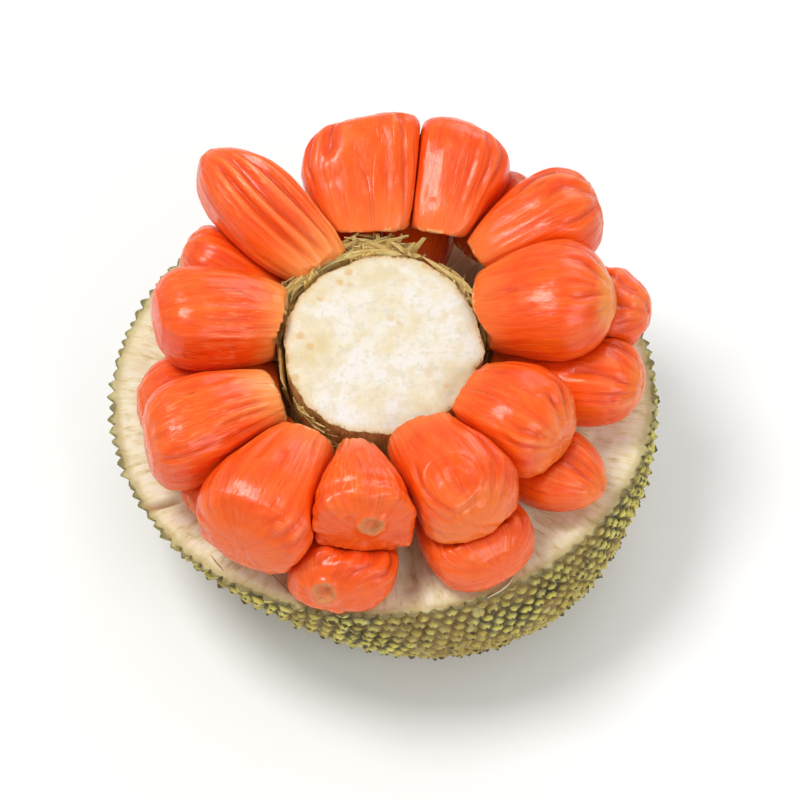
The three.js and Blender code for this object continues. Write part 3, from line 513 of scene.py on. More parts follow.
def core_share(f, h):
    flutes = 0.006 * np.sin(9 * f + 1) + 0.004 * np.sin(14 * f + 4)
    return 1 - (CORE_WAIST / CORE_RX) * np.sin(PI * np.clip(h, 0, 1)) - 0.01 + flutes


def core_point(f, h, share, out=0.0):
    f, h, share, out = np.broadcast_arrays(np.asarray(f, float), np.asarray(h, float), np.asarray(share, float), np.asarray(out, float))
    k = core_share(f, h) * share
    x = (CORE_RX * k * np.cos(f) + out * np.cos(f))[..., None]
    y = (CORE_RY * k * np.sin(f) + out * np.sin(f))[..., None]
    high = CORE_TOP + core_x * x + core_y * y
    low = CORE_FOOT + core_x * x + core_y * y
    low = low + core_axis * ((-PITH_DISH + 0.3 - low[..., 2]) / core_axis[2])[..., None]
    return low + (high - low) * h[..., None]


def build_core():
    nf = 300
    f = np.arange(nf) / nf * 2 * PI
    rows, kinds = [], []
    for s in (0.3, 0.7, 0.93, 0.985):  # underside
        rows.append((0.0, s))
        kinds.append("under")
    side_h = np.concatenate([[0.0, 0.02], np.linspace(0.05, 0.93, 30), [0.955, 0.972, 0.984, 0.993]])
    for h in side_h:
        rows.append((h, 1.0))
        kinds.append("side")
    for s in np.concatenate([[0.995, 0.985, 0.972], np.linspace(0.95, 0.04, 44)]):
        rows.append((1.0, s))
        kinds.append("top")
    pts, side, rim, grain = [], [], [], []
    for (h, s), kind in zip(rows, kinds):
        ff = np.stack([np.cos(f) * 6, np.sin(f) * 6, np.full(nf, h * 1.2)], -1)
        p = core_point(f, h, s)
        edge = smooth(s, 0.9, 1.0) * smooth(h, 0.85, 1.0)
        out = 0.9 * noise3(ff * 3.0, 2.2, 3) * edge  # ragged rim
        if kind == "side":
            fib = 0.55 * noise3(ff * np.array([4.2, 4.2, 1.2]), 1.0, 5) + 0.35 * noise3(ff * np.array([11, 11, 2.0]), 1.0, 6)
            groove = np.minimum(noise3(ff * np.array([2.2, 2.2, 0.5]), 1.0, 8), 0) * 1.2
            out = out + (fib - 0.45 + groove) * (1 - 0.5 * smooth(h, 0.93, 1.0))
        out = out - 1.3 * (0.5 + 0.5 * noise3(ff * np.array([0.55, 0.55, 0]), 1.0, 71)) * smooth(h, 0.5, 1.0)
        out = out - 0.8 * np.abs(noise3(ff * np.array([2.6, 2.6, 0]), 1.0, 72)) * edge
        lobe = 1.9 * np.exp(-((((f - math.radians(352) + PI) % (2 * PI)) - PI) / 0.13) ** 2) * smooth(h, 0.55, 1.0) * smooth(s, 0.7, 1.0)
        nick = -1.4 * np.exp(-((((f - math.radians(118) + PI) % (2 * PI)) - PI) / 0.20) ** 2) * edge
        out = out + lobe + nick
        p = p + (core_x * np.cos(f)[:, None] + core_y * np.sin(f)[:, None]) * out[:, None]
        if kind == "top":
            q = p / 1.0
            relief = 0.5 * noise3(q, 16, 2) + 0.30 * noise3(q, 5, 4) + 0.18 * noise3(q, 2.0, 9)
            dome = 0.9 * (1 - s * s) - 0.55 * smooth(s, 0.955, 1.0)
            p = p + core_axis * (relief * smooth(1 - s, 0.0, 0.06) + dome)[:, None]
        pts.append(p)
        side.append(np.full(nf, 0.0 if kind == "top" else 1.0 - 0.5 * float(smooth(h, 0.72, 0.98))))
        rim.append(np.full(nf, (1 - s) * 50 if kind == "top" else 0.0))
        grain.append(np.stack([np.cos(f) * 7, np.sin(f) * 7, np.full(nf, h * 0.9)], -1))
    nr = len(rows)
    base = core_point(0.0, 0.0, 0.0)
    top = core_point(0.0, 1.0, 0.0) + core_axis * 0.9
    verts = np.concatenate([base[None], np.concatenate(pts), top[None]])
    quads, tris = tube_faces(nr + 1, nf)
    # rings run counter-clockwise seen from above, and the tip is up
    attrs = {
        "side": np.concatenate([[1.0], np.concatenate(side), [0.0]]),
        "rim": np.concatenate([[0.0], np.concatenate(rim), [50.0]]),
        "grain": np.concatenate([[[0, 0, 0]], np.concatenate(grain), [[0, 0, 0]]]),
    }
    return verts, [quads, tris], attrs


def outward(verts, faces):
    """Turns the faces round if the closed mesh is inside out."""
    vol = 0.0
    for f in faces:
        a = verts[f[:, 0]]
        for k in range(1, f.shape[1] - 1):
            vol += np.einsum("ij,ij->i", a, np.cross(verts[f[:, k]], verts[f[:, k + 1]])).sum()
    return faces if vol > 0 else [f[:, ::-1] for f in faces]


verts, faces, attrs = build_core()
core = make_object("core_stub", verts, outward(verts, faces), [MAT_CORE], attrs)
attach(core, "root")
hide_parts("core")


# ------------------------------------------------------------------ pods
class Pod:
    def __init__(self, name, base, tip, width, thickness, base_share, arch, push):
        self.name, self.width, self.thickness = name, float(width), float(thickness)
        self.style = STYLE.get(name, {})
        self.base_share, self.arch, self.push = self.style.get("base", base_share), arch, push
        self.tip_power, self.square = self.style.get("tip", 2.4), self.style.get("square", 2.8)
        self.lip = self.style.get("lip", 3.0)
        self.widest = self.style.get("widest", WIDEST)
        self.slant, self.tilt = self.style.get("slant", 0.0), self.style.get("tilt", 0.0)
        self.halves = self.style.get("halves", ((1, 1, 1, 1, 1), (1, 1, 1, 1, 1)))
        self.base = np.array(base)
        d = np.array(tip) - self.base
        d = d * (1 + self.style.get("longer", 0.0) / np.linalg.norm(d))
        self.length = np.linalg.norm(d)
        self.axis = d / self.length
        up = np.array([0, 0, 1.0]) - self.axis * self.axis[2]
        self.up = up / np.linalg.norm(up)
        self.side = np.cross(self.axis, self.up)
        self.middle = self.base + self.axis * self.length * 0.55 + self.up * arch
        self.reach = max(self.length * 0.6, width * 0.75)

    def profile(self, t):
        t = np.clip(t, 0, 1)
        r = self.base_share + (1 - self.base_share) * np.sin(0.5 * PI * np.clip(t / self.widest, 0, 1)) ** 0.9
        e = np.clip((t - self.widest) / (1 - self.widest), 0, 1)
        p = self.tip_power
        r = np.where(t > self.widest, np.maximum(1 - e**p, 0) ** (1 / p), r)
        b = np.clip(1 - t / 0.04, 0, 1)
        return r * np.maximum(1 - b**3, 0) ** (1 / 3)

    def half(self, t, b):
        """The half-width beside a point b from the middle, as the pod's two sides differ."""
        k = 0.5 * self.width * self.profile(t)
        x = np.array([0, 0.25, 0.5, 0.75, 1.0])
        lo, hi = (np.interp(t, x, h) for h in self.halves)
        u = np.clip(b / np.maximum(k, 1e-6), -1, 1)
        return k * (0.5 * (lo + hi) + 0.5 * (hi - lo) * u)

    def skew(self, t, b):
        """How much further the tip reaches on one side than on the other."""
        return self.slant * np.clip(b / (0.4 * self.width), -1, 1) * smooth(t, 0.35, 1.0)

    def lean(self, t, c):
        """How far the base is cut back: its upper edge reaches inwards, its lower edge stops short.
        The tip may lean too, with its lower edge reaching out."""
        base = self.lip * np.clip(c / (0.5 * self.thickness * self.base_share), -1, 1) * (1 - smooth(t, 0.0, 0.5))
        return base + self.tilt * np.clip(c / (0.4 * self.thickness), -1, 1) * smooth(t, 0.45, 1.0)

    def spine(self, t):
        t = np.asarray(t, float)[..., None]
        return self.base + self.axis * self.length * t + self.up * (self.arch * 4 * t * (1 - t))

    def field(self, p):
        q = p - self.base
        along = q @ self.axis
        along = along + self.lean(along / self.length, q @ self.up - self.arch * 4 * np.clip(along / self.length, 0, 1) * (1 - np.clip(along / self.length, 0, 1)))
        along = along - self.skew(along / self.length, q @ self.side)
        t = np.clip(along / self.length, 0.03, 0.97)
        beyond = np.abs(along / self.length - t) * self.length
        k = self.profile(t)
        w, h = self.half(t, q @ self.side), 0.5 * self.thickness * k
        b = np.abs(q @ self.side) / w
        c = np.abs(q @ self.up - self.arch * 4 * t * (1 - t)) / h
        rho = (b**self.square + c**self.square) ** (1 / self.square)
        g = (rho - 1) * 0.5 * (w + h)
        return np.where(g > 0, np.hypot(g, beyond), g + beyond) - self.push

    def free(self, t, f):
        k = self.profile(t)
        c, s = np.cos(f), np.sin(f)
        e = 2 / self.square
        x = np.sign(c) * np.abs(c) ** e
        x = x * self.half(t, x * 0.5 * self.width * k)
        y = 0.5 * self.thickness * k * np.sign(s) * np.abs(s) ** e
        return self.spine(t) + x[..., None] * self.side + y[..., None] * self.up + (self.skew(t, x) - self.lean(t, y))[..., None] * self.axis


pods = [Pod(*row) for row in PODS]


def rows_of(pod, n):
    """Where the rings go along the pod: evenly over its outline, so that flat ends have rings too."""
    e = np.linspace(0, 1, 4001)
    t = np.concatenate([0.04 * e[:-1] ** 3, 0.04 + (pod.widest - 0.04) * e[:-1], 1 - (1 - pod.widest) * (1 - e) ** 3])
    k = 0.25 * (pod.width + pod.thickness) * pod.profile(t)
    s = np.concatenate([[0], np.cumsum(np.hypot(np.diff(t) * pod.length, np.diff(k)))])
    out = np.interp(np.linspace(0, s[-1], n + 1), s, t)
    out[0], out[-1] = 0.0, 1.0
    return out


def upsample(s):
    """Doubles a grid that is open along its first axis and closed round its second."""
    n, m = s.shape
    pad = np.concatenate([2 * s[:1] - s[1:2], s, 2 * s[-1:] - s[-2:-1]])
    mid = (-pad[:-3] + 9 * pad[1:-2] + 9 * pad[2:-1] - pad[3:]) / 16
    out = np.empty((2 * n - 1, m))
    out[0::2], out[1::2] = s, mid
    mid = (-np.roll(out, 1, 1) + 9 * out + 9 * np.roll(out, -1, 1) - np.roll(out, -2, 1)) / 16
    res = np.empty((2 * n - 1, 2 * m))
    res[:, 0::2], res[:, 1::2] = out, mid
    return res


def pressed_grid(pod, nt, nf):
    """How far each ray from the pod's spine runs before its room among the neighbours ends."""
    near = [o for o in pods if o is not pod and np.linalg.norm(o.middle - pod.middle) < o.reach + pod.reach]
    t = rows_of(pod, nt)
    f = np.arange(nf) / nf * 2 * PI
    T, F = np.meshgrid(t, f, indexing="ij")
    outer, inner = pod.free(T, F), pod.spine(np.clip(T, 0.16, 0.8))

    def room(s):
        p = inner + s[..., None] * (outer - inner)
        own = pod.field(p)
        g = own + pod.push
        for o in near:
            g = smax(g, (own - o.field(p) + GAP) * 0.5, BLEND)
        g = smax(g, GAP * 0.5 + CORE_GAP - core_field(p), BLEND)
        return smax(g, GAP * 0.5 - (p[..., 2] - pith_height(p[..., 0], p[..., 1])), BLEND)

    lo, hi = np.full(T.shape, 0.04), np.full(T.shape, 1.04)
    found, prev = np.zeros(T.shape, bool), np.full(T.shape, 0.04)
    for k in range(1, 19):
        s = np.full(T.shape, 0.04 + k / 18.0)
        out = (room(s) > 0) & ~found
        hi, lo = np.where(out, s, hi), np.where(out, prev, lo)
        found |= out
        prev = s
        if found.all():
            break
    lo = np.where(found, lo, 1.04)
    hi = np.where(found, hi, 1.04)
    for _ in range(8):
        m = 0.5 * (lo + hi)
        bad = room(m) > 0
        hi, lo = np.where(bad, m, hi), np.where(bad, lo, m)
    return lo


def normals_of(p):
    dt = np.gradient(p, axis=0)
    df = 0.5 * (np.roll(p, -1, 1) - np.roll(p, 1, 1))
    n = np.cross(df, dt)
    return n / np.maximum(np.linalg.norm(n, axis=-1, keepdims=True), 1e-9)


def build_pod(pod, index):
    nt, nf = 56, 80
    st = pod.style
    s = upsample(pressed_grid(pod, nt, nf))
    nt, nf = 2 * nt, 2 * nf
    t = rows_of(pod, nt)
    for _ in range(6):
        soft = np.minimum(s, 0.25 * np.roll(s, 1, 1) + 0.5 * s + 0.25 * np.roll(s, -1, 1))
        s = s + (soft - s) * (1 - smooth(t, 0.05, 0.16))[:, None]
    f = np.arange(nf) / nf * 2 * PI
    T, F = np.meshgrid(t, f, indexing="ij")
    outer, inner = pod.free(T, F), pod.spine(np.clip(T, 0.16, 0.8))
    P = inner + s[..., None] * (outer - inner)
    P[0], P[-1] = P[0].mean(0), P[-1].mean(0)
    pressed = smooth(1.0 - s, 0.02, 0.10)
    N = normals_of(P)
    if np.einsum("ijk,ijk->ij", N, P - inner).mean() < 0:
        N = -N
    r = np.random.default_rng(100 + index)
    girth = 0.25 * (pod.width + pod.thickness) * np.maximum(pod.profile(T), 0.12)
    D = np.zeros_like(T)
    # the second sum gathers painted shade down the grooves and creases, which the flesh material paints darker
    crease_shade_amount = np.zeros_like(T)

    def groove(f0, t0, t1, width, depth, bend, wander):
        c = f0 + bend * np.sin(PI * np.clip((T - t0) / (t1 - t0), 0, 1)) + wander * np.sin(7 * T + f0 * 3)
        dist = (((F - c + PI) % (2 * PI)) - PI) * girth
        env = smooth(T, t0, t0 + 0.16) * (1 - smooth(T, t1 - 0.16, t1)) if t1 < 0.97 else smooth(T, t0, t0 + 0.2)
        width = width * (0.75 + 0.5 * np.sin(PI * np.clip((T - t0) / (t1 - t0), 0, 1)))
        d = np.abs(dist) / width
        cut = np.exp(-(d**1.5)) - 0.35 * np.exp(-((d - 2.1) ** 2) / 0.9)
        # the groove's relief, and its painted shade down the middle
        return depth * env * cut, env * np.exp(-((dist / (0.55 * width)) ** 2)) * min(depth / 1.5, 1.0)

    # a few shallow folds everywhere, then the ones this pod shows
    for _ in range(9):
        a = r.uniform(0, 2 * PI)
        t0 = r.uniform(-0.1, 0.5)
        d, g = groove(a, t0, t0 + r.uniform(0.35, 0.7), r.uniform(1.2, 3.0), r.uniform(0.15, 0.45), r.normal(0, 0.15), 0.02)
        D -= d
        crease_shade_amount += 0.6 * g
    for a, t0, t1, w, depth, bend in st.get("grooves", []):
        d, g = groove(math.radians(a), t0, t1, w, depth, bend, 0.015)
        D -= d * (1 - 0.75 * smooth(T, 0.88, 0.98))
        crease_shade_amount += g * (1 - 0.75 * smooth(T, 0.88, 0.98))
    if "ridge" in st:
        a0, a1, count, depth, t0, t1 = st["ridge"]
    else:
        a0, a1, count, depth, t0, t1 = r.uniform(20, 60), r.uniform(120, 160), 9, 0.35, 0.15, 0.9
    for k in range(int(count)):
        a = math.radians(a0 + (a1 - a0) * (k + 0.5 + r.uniform(-0.3, 0.3)) / count)
        d, g = groove(a, t0 + r.uniform(-0.05, 0.12), t1 - r.uniform(-0.02, 0.2), r.uniform(0.8, 1.4), depth * r.uniform(0.6, 1.2), r.normal(0, 0.03), 0.008)
        D -= d * (1 - 0.75 * smooth(T, 0.88, 0.98))
        crease_shade_amount += 0.7 * g * (1 - 0.75 * smooth(T, 0.88, 0.98))
    # long fine striae
    wob = 0.35 * np.sin(5 * T + index) + 0.25 * np.sin(11 * T + 2 * index)
    for n_, a_ in ((11, 0.10), (17, 0.09), (23, 0.07), (31, 0.05)):
        D += 1.3 * a_ * (1 - smooth(T, 0.86, 0.98)) * np.cos(n_ * F + r.uniform(0, 6.28) + wob * 1.5) * (0.6 + 0.6 * noise3(P, 12, index + n_))
    # the gathered tip
    count, depth = st.get("wrinkle", (8, 0.8))
    tipz = smooth(T, 0.72, 0.95)
    for k_, a_, seed in ((0.30 * count, 0.62, 40), (0.62 * count, 0.34, 41), (1.2 * count, 0.14, 42)):
        w_ = noise3(np.stack([np.cos(F) * k_ * 0.5, np.sin(F) * k_ * 0.5, T * 3.0 + 7.3 * index], -1), 1.0, seed)
        fade = tipz * (1 - smooth(T, 0.94, 1.0))
        D += 0.55 * depth * a_ * fade * (0.45 - 2.2 * np.maximum(0.28 - np.abs(w_), 0) / 0.28 * 0.6)
        crease_shade_amount += 0.3 * fade * smooth(0.10 - np.abs(w_), 0.0, 0.10) * min(depth, 1.0)
    # and creases that run anyhow over it
    for size, a_, seed in ((11.0, 0.26, 44), (5.0, 0.08, 45)):
        warp = P + 3.0 * np.stack([noise3(P, 7, seed + 1), noise3(P, 7, seed + 2), noise3(P, 7, seed + 3)], -1)
        w_ = noise3(warp, size, seed + index)
        cut = np.maximum(0.16 - np.abs(w_), 0) / 0.16
        D -= depth * a_ * tipz * (cut - 0.25)
        crease_shade_amount += 0.12 * tipz * cut**2 * min(depth, 1.0)
    if st.get("ribs"):
        D += st["ribs"] * np.sin(pod.length * T / 2.1 + 1.2 * np.sin(F)) * smooth(T, 0.35, 0.6) * (0.4 + 0.6 * smooth(np.sin(F), 0.0, 0.8))
    # the raised relief, which the flesh material paints paler as a painted highlight on the ridges
    crest = np.clip((D - 0.10) / 0.7, 0, 1)
    D += 1.0 * noise3(P, 23, index + 3) + 0.28 * noise3(P, 9, index + 5) + 0.10 * noise3(P, 3.2, index + 7)
    if "dent" in st:
        dt_, df_, rad_, deep = st["dent"]
        c = pod.free(np.array(dt_), np.array(math.radians(df_)))
        rho = np.linalg.norm(P - c, axis=-1) / rad_
        D += deep * (-np.exp(-(rho**4)) + 0.6 * np.exp(-(((rho - 1.05) / 0.22) ** 2)))
    scar = np.zeros_like(T)
    if "navel" in st:
        nt_, nf_ = st["navel"]
        c = pod.free(np.array(nt_), np.array(math.radians(nf_)))
        rho = np.linalg.norm(P - c, axis=-1) + 0.8 * noise3(P, 3.0, 77)
        D += 1.7 * np.exp(-(((rho - 5.6) / 1.9) ** 2)) - 1.8 * np.exp(-((rho / 3.4) ** 2)) + 0.8 * noise3(P, 1.8, 50) * np.exp(-((rho / 6.5) ** 4))
        lump = np.exp(-(((rho - 13.0) / 5.0) ** 2))
        D += lump * (1.1 * noise3(P, 6.0, 61))
        scar = (1 - smooth(rho, 4.0, 7.2)) * (0.6 + 0.4 * smooth(np.abs(rho - 4.6), 2.0, 0.4))
    # a ruffled edge round the tip, where the next pod pressed on it
    if "flange" in st:
        ruffle = 0.6 + 0.5 * np.sin(9 * F + 1.3 * np.sin(3 * F)) + 0.4 * noise3(P, 5.0, index + 90)
        D += st["flange"] * ruffle * np.exp(-(((T - 0.93) / 0.03) ** 2))
        D -= 0.5 * st["flange"] * np.exp(-(((T - 0.80) / 0.05) ** 2))
    # the torn base
    D += smooth(T, 0.06, 0.0) * 0.5 * noise3(P, 4.0, index + 21)
    # a pressed face stays inside its own room
    D = D * (1 - pressed) + np.minimum(D, 0) * pressed * 0.45
    D[0], D[-1] = D[0].mean(), D[-1].mean()
    P = P + N * D[..., None]
    P[..., 2] = np.maximum(P[..., 2], pith_height(P[..., 0], P[..., 1]) + 0.1)
    P[0], P[-1] = P[0].mean(0), P[-1].mean(0)
    verts = np.concatenate([P[:1, 0], P[1:-1].reshape(-1, 3), P[-1:, 0]])

    def flat(a):
        return np.concatenate([a[:1, 0], a[1:-1].reshape(-1, *a.shape[2:]), a[-1:, 0]])

    k = girth / 14.0
    grain = np.stack([np.cos(F) * 1.6 + index * 3.7, np.sin(F) * 1.6, T * 0.55], -1)
    attrs = {
        "along": flat(T),
        "grain": flat(grain),
        # painted shade in the grooves and creases
        "crease_shade": flat(np.clip(crease_shade_amount, 0, 1)),
        "crest": flat(crest),
        # the pressed faces, which the flesh material paints deeper red as painted shade between the pods
        "contact_shade": flat(pressed),
        "own": np.full(len(verts), r.uniform(0, 1)),
        "light": np.full(len(verts), st.get("light", r.uniform(0.1, 0.35))),
        "patch": np.full(len(verts), st.get("patch", r.uniform(0.0, 0.3))),
        "scar": flat(scar),
    }
    quads, tris = tube_faces(nt, nf)
    return verts, outward(verts, [quads, tris]), attrs


for index, pod in enumerate(pods):
    verts, faces, attrs = build_pod(pod, index)
    piece = make_object(pod.name.replace("aril", "pod"), verts, faces, [MAT_ARIL], attrs)
    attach(piece, "root")
    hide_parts(pod.name)


# ------------------------------------------------------------------ rind and pith, one closed body
def build_rind():
    # arc length down the wall, by angle, so that the knobs keep their pitch
    nth, nq = 180, 140
    th = np.arange(nth) / nth * 2 * PI
    q = np.linspace(0, 1, nq) ** 0.7 * 1.0
    q = np.sort(1 - (np.cos(0.5 * PI * np.linspace(0, 1, nq))))  # dense near the rim
    wall = skin(th[:, None], q[None, :])
    seg = np.linalg.norm(np.diff(wall, axis=1), axis=-1)
    arc = np.concatenate([np.zeros((nth, 1)), np.cumsum(seg, 1)], 1)  # from the rim down
    total = arc[:, -1] + REST_RADIUS
    na = 200
    a_grid = np.linspace(0, 1, na)  # 0 at the rest's centre, 1 at the rim
    q_of = np.empty((nth, na))
    for i in range(nth):
        down = (1 - a_grid) * total[i]
        q_of[i] = np.where(down <= arc[i, -1], np.interp(down, arc[i], q), 1 + (down - arc[i, -1]) / REST_RADIUS)

    def surface(a, t):
        x = ((t / (2 * PI)) * nth) % nth
        i = np.floor(x).astype(int) % nth
        u = x - np.floor(x)
        y = np.clip(a, 0, 1) * (na - 1)
        j = np.clip(np.floor(y).astype(int), 0, na - 2)
        v = y - j
        i2 = (i + 1) % nth
        qq = (q_of[i, j] * (1 - u) + q_of[i2, j] * u) * (1 - v) + (q_of[i, j + 1] * (1 - u) + q_of[i2, j + 1] * u) * v
        over = np.maximum(a - 1, 0) * (total[i] * (1 - u) + total[i2] * u)
        p = skin(t, np.minimum(qq, 1.0))
        inside = np.clip(2 - qq, 0, 1)  # on the rest
        c = np.array([REST_CENTRE[0], REST_CENTRE[1], 0])
        rest = np.stack([c[0] + REST_RADIUS * inside * np.cos(t), c[1] + REST_RADIUS * inside * np.sin(t), np.full(np.shape(t), -BOWL_DEPTH)], -1)
        p = np.where((qq > 1)[..., None], rest, p)
        p[..., 2] += over
        return p

    def normal(a, t):
        e = 0.004
        da = surface(np.minimum(a + e, 1.08), t) - surface(np.maximum(a - e, 0.0), t)
        et = 0.01
        dt = surface(a, t + et) - surface(a, t - et)
        n = np.cross(dt, da)
        ln = np.linalg.norm(n, axis=-1, keepdims=True)
        n = np.where(ln > 1e-7, n / np.maximum(ln, 1e-9), np.array([0, 0, -1.0]))
        return n

    mean_r = np.array([np.linalg.norm((surface(np.full(nth, a), th) - surface(np.full(nth, a), th).mean(0))[:, :2], axis=1).mean() for a in np.linspace(0, 1.08, 120)])
    aa = np.linspace(0, 1.08, 120)
    mean_s = total.mean()
    logd = np.zeros(120)
    for k in range(119, 0, -1):
        ra = max(0.5 * (mean_r[k] + mean_r[k - 1]), 1.0)
        logd[k - 1] = logd[k] - (aa[k] - aa[k - 1]) * mean_s / ra
    disc = np.exp(logd)
    disc[0] = 0.0

    rng = np.random.default_rng(5)
    pitch_row, pitch = 6.1, 7.0
    K = int(round(mean_s / pitch_row))
    seeds, last, phase = [(0.0, 0.0)], 0, 0.0
    for k in range(1, K + 3):
        a = k / K
        r = np.interp(a, aa, mean_r)
        count = max(6, int(round(2 * PI * r / pitch / 4.0)) * 4)
        phase = phase + 0.5 if count == last else rng.uniform(0, 1)
        last = count
        for i in range(count):
            t = 2 * PI * (i + phase + rng.normal(0, 0.13)) / count
            seeds.append((a + rng.normal(0, 0.13) / K, t))
    seeds = np.array(seeds)
    d = np.interp(seeds[:, 0], aa, disc)
    xy = np.stack([d * np.cos(seeds[:, 1]), d * np.sin(seeds[:, 1])], -1)
    res = delaunay_2d_cdt([Vector(p) for p in xy], [], [], 0, 1e-7)
    tri = np.array([fc for fc in res[2] if len(fc) == 3])
    orig = np.array([o[0] if o else -1 for o in res[3]])
    tri = orig[tri]
    corner_xy = xy[tri].mean(1)

    def to_at(p):
        rad = np.hypot(p[..., 0], p[..., 1])
        return np.interp(rad, disc, aa), np.arctan2(p[..., 1], p[..., 0])

    around = [[] for _ in range(len(xy))]
    for ti, tr in enumerate(tri):
        for v in tr:
            around[v].append(ti)
    inner_seed = seeds[:, 0] < (K + 1.4) / K
    # vertices: corners first, then per knob two rings and an apex
    P_xy, P_h, P_own, P_kind, faces3, faces4 = [corner_xy], [np.zeros(len(tri))], [np.zeros(len(tri))], [], [], []
    used = len(tri)
    heights = rng.uniform(0.62, 1.15, len(xy))
    owns = rng.uniform(0, 1, len(xy))
    lean = rng.normal(0, 0.12, (len(xy), 2))
    for sidx in range(len(xy)):
        if not inner_seed[sidx] or len(around[sidx]) < 4:
            continue
        ring = np.array(around[sidx])
        c = corner_xy[ring]
        mid = c.mean(0)
        ang = np.arctan2(c[:, 1] - mid[1], c[:, 0] - mid[0])
        o = np.argsort(ang)
        ring, c = ring[o], c[o]
        m = len(ring)
        size = np.linalg.norm(c - mid, axis=1).mean()
        apex = mid + lean[sidx] * size + mid / max(np.linalg.norm(mid), 1e-9) * size * 0.10
        # the flanks are slightly rounded, with the steepest part near the point
        r1 = apex + (c - apex) * 0.22
        r2 = apex + (c - apex) * 0.60
        hgt = heights[sidx]
        P_xy += [r1, r2, apex[None]]
        P_h += [np.full(m, 0.82 * hgt), np.full(m, 0.42 * hgt), np.array([hgt])]
        P_own += [np.full(2 * m + 1, owns[sidx])]
        i1, i2, ia = used + np.arange(m), used + m + np.arange(m), used + 2 * m
        used += 2 * m + 1
        n1, n2, nr = np.roll(i1, -1), np.roll(i2, -1), np.roll(ring, -1)
        faces3.append(np.stack([np.full(m, ia), n1, i1], -1))
        faces4.append(np.stack([i1, n1, n2, i2], -1))
        faces4.append(np.stack([i2, n2, nr, ring], -1))
    P_xy, H, own = np.concatenate(P_xy), np.concatenate(P_h), np.concatenate(P_own)
    own[: len(tri)] = rng.uniform(0.3, 0.7, len(tri))
    a, t = to_at(P_xy)
    base = surface(a, t)
    nrm = normal(a, t)
    tall = 3.5 * (1 - 0.5 * smooth(BOWL_DEPTH + base[:, 2], 12.0, 2.0))
    P = base + nrm * (H * tall - 0.6)[:, None]
    P += nrm * (0.25 * noise3(P, 4.0, 3))[:, None]
    # the flattened, rubbed patch it stands on
    low = BOWL_DEPTH + base[:, 2]
    P[:, 2] += np.where(low < 6, (1 - low / 6) * 1.0, 0)
    P[:, 2] = np.maximum(P[:, 2], -BOWL_DEPTH)
    faces3, faces4 = np.concatenate(faces3), np.concatenate(faces4)
    tris = np.concatenate([faces3, faces4[:, [0, 1, 2]], faces4[:, [0, 2, 3]]])
    # drop unused corners, then cut at the rim plane
    mesh = bpy.data.meshes.new("skin_tmp")
    mesh.from_pydata(P.tolist(), [], tris.tolist())
    bm = bmesh.new()
    bm.from_mesh(mesh)
    lh, lo_ = bm.verts.layers.float.new("spike"), bm.verts.layers.float.new("own")
    bm.verts.ensure_lookup_table()
    for v, hh, oo in zip(bm.verts, H.tolist(), own.tolist()):
        v[lh], v[lo_] = hh, oo
    loose = [v for v in bm.verts if not v.link_faces]
    bmesh.ops.delete(bm, geom=loose, context="VERTS")
    bmesh.ops.bisect_plane(bm, geom=bm.verts[:] + bm.edges[:] + bm.faces[:], dist=1e-5, plane_co=(0, 0, 0), plane_no=(0, 0, 1), clear_outer=True)
    bmesh.ops.triangulate(bm, faces=bm.faces[:])
    bm.verts.index_update()
    bm.verts.ensure_lookup_table()
    V = np.array([v.co[:] for v in bm.verts])
    spike = np.array([v[lh] for v in bm.verts])
    own = np.array([v[lo_] for v in bm.verts])
    T3 = np.array([[v.index for v in fc.verts] for fc in bm.faces])
    nxt = {}
    for e in bm.edges:
        if len(e.link_faces) == 1:
            a_, b_ = e.verts[0].index, e.verts[1].index
            nxt.setdefault(a_, []).append(b_)
            nxt.setdefault(b_, []).append(a_)
    bm.free()
    bpy.data.meshes.remove(mesh)
    start = max(nxt, key=lambda i: V[i, 0])
    loop, prev, cur = [start], None, start
    while True:
        step = [x for x in nxt[cur] if x != prev]
        if not step:
            break
        prev, cur = cur, step[0]
        if cur == start:
            break
        loop.append(cur)
    loop = np.array(loop)
    if len(loop) != len(nxt):
        print("rind: the cut edge has", len(nxt), "vertices and its loop", len(loop))
    ang = np.unwrap(np.arctan2(V[loop, 1], V[loop, 0]))
    if ang[-1] < ang[0]:
        loop = np.concatenate([loop[:1], loop[1:][::-1]])
        ang = np.unwrap(np.arctan2(V[loop, 1], V[loop, 0]))
    # the cut pith: rings inwards from the edge
    npth = 540
    tt = ang[0] + np.arange(npth) / npth * 2 * PI
    R = rim_radius(tt)
    radii = np.concatenate([[-1.4, -2.6, -4.0, -5.6], -np.linspace(7.5, 44, 26), -np.linspace(50, 120, 8)])
    rings = []
    for dr in radii:
        r = R + dr + (0.35 * noise3(np.stack([np.cos(tt) * 60, np.sin(tt) * 60, 0 * tt], -1), 3.0, 9) if dr > -3 else 0)
        rings.append(np.stack([r * np.cos(tt), r * np.sin(tt), 0 * tt], -1))
    rings = np.array(rings)
    x, y = rings[..., 0], rings[..., 1]
    rr = np.hypot(x, y)
    thp = np.arctan2(y, x)
    gr = np.stack([np.cos(thp) * 60, np.sin(thp) * 60, rr / 9.0], -1)
    relief = 0.45 * noise3(gr, 1.9, 12) + 0.3 * noise3(gr, 0.9, 13) + 0.9 * noise3(np.stack([x, y, 0 * x], -1), 17, 14) + 0.35 * noise3(np.stack([x, y, 0 * x], -1), 5, 15)
    z = pith_height(x, y) - np.abs(relief) * smooth(-radii, 0.5, 5.0)[:, None] - 0.05
    depth_rim = np.broadcast_to((-radii)[:, None], x.shape)
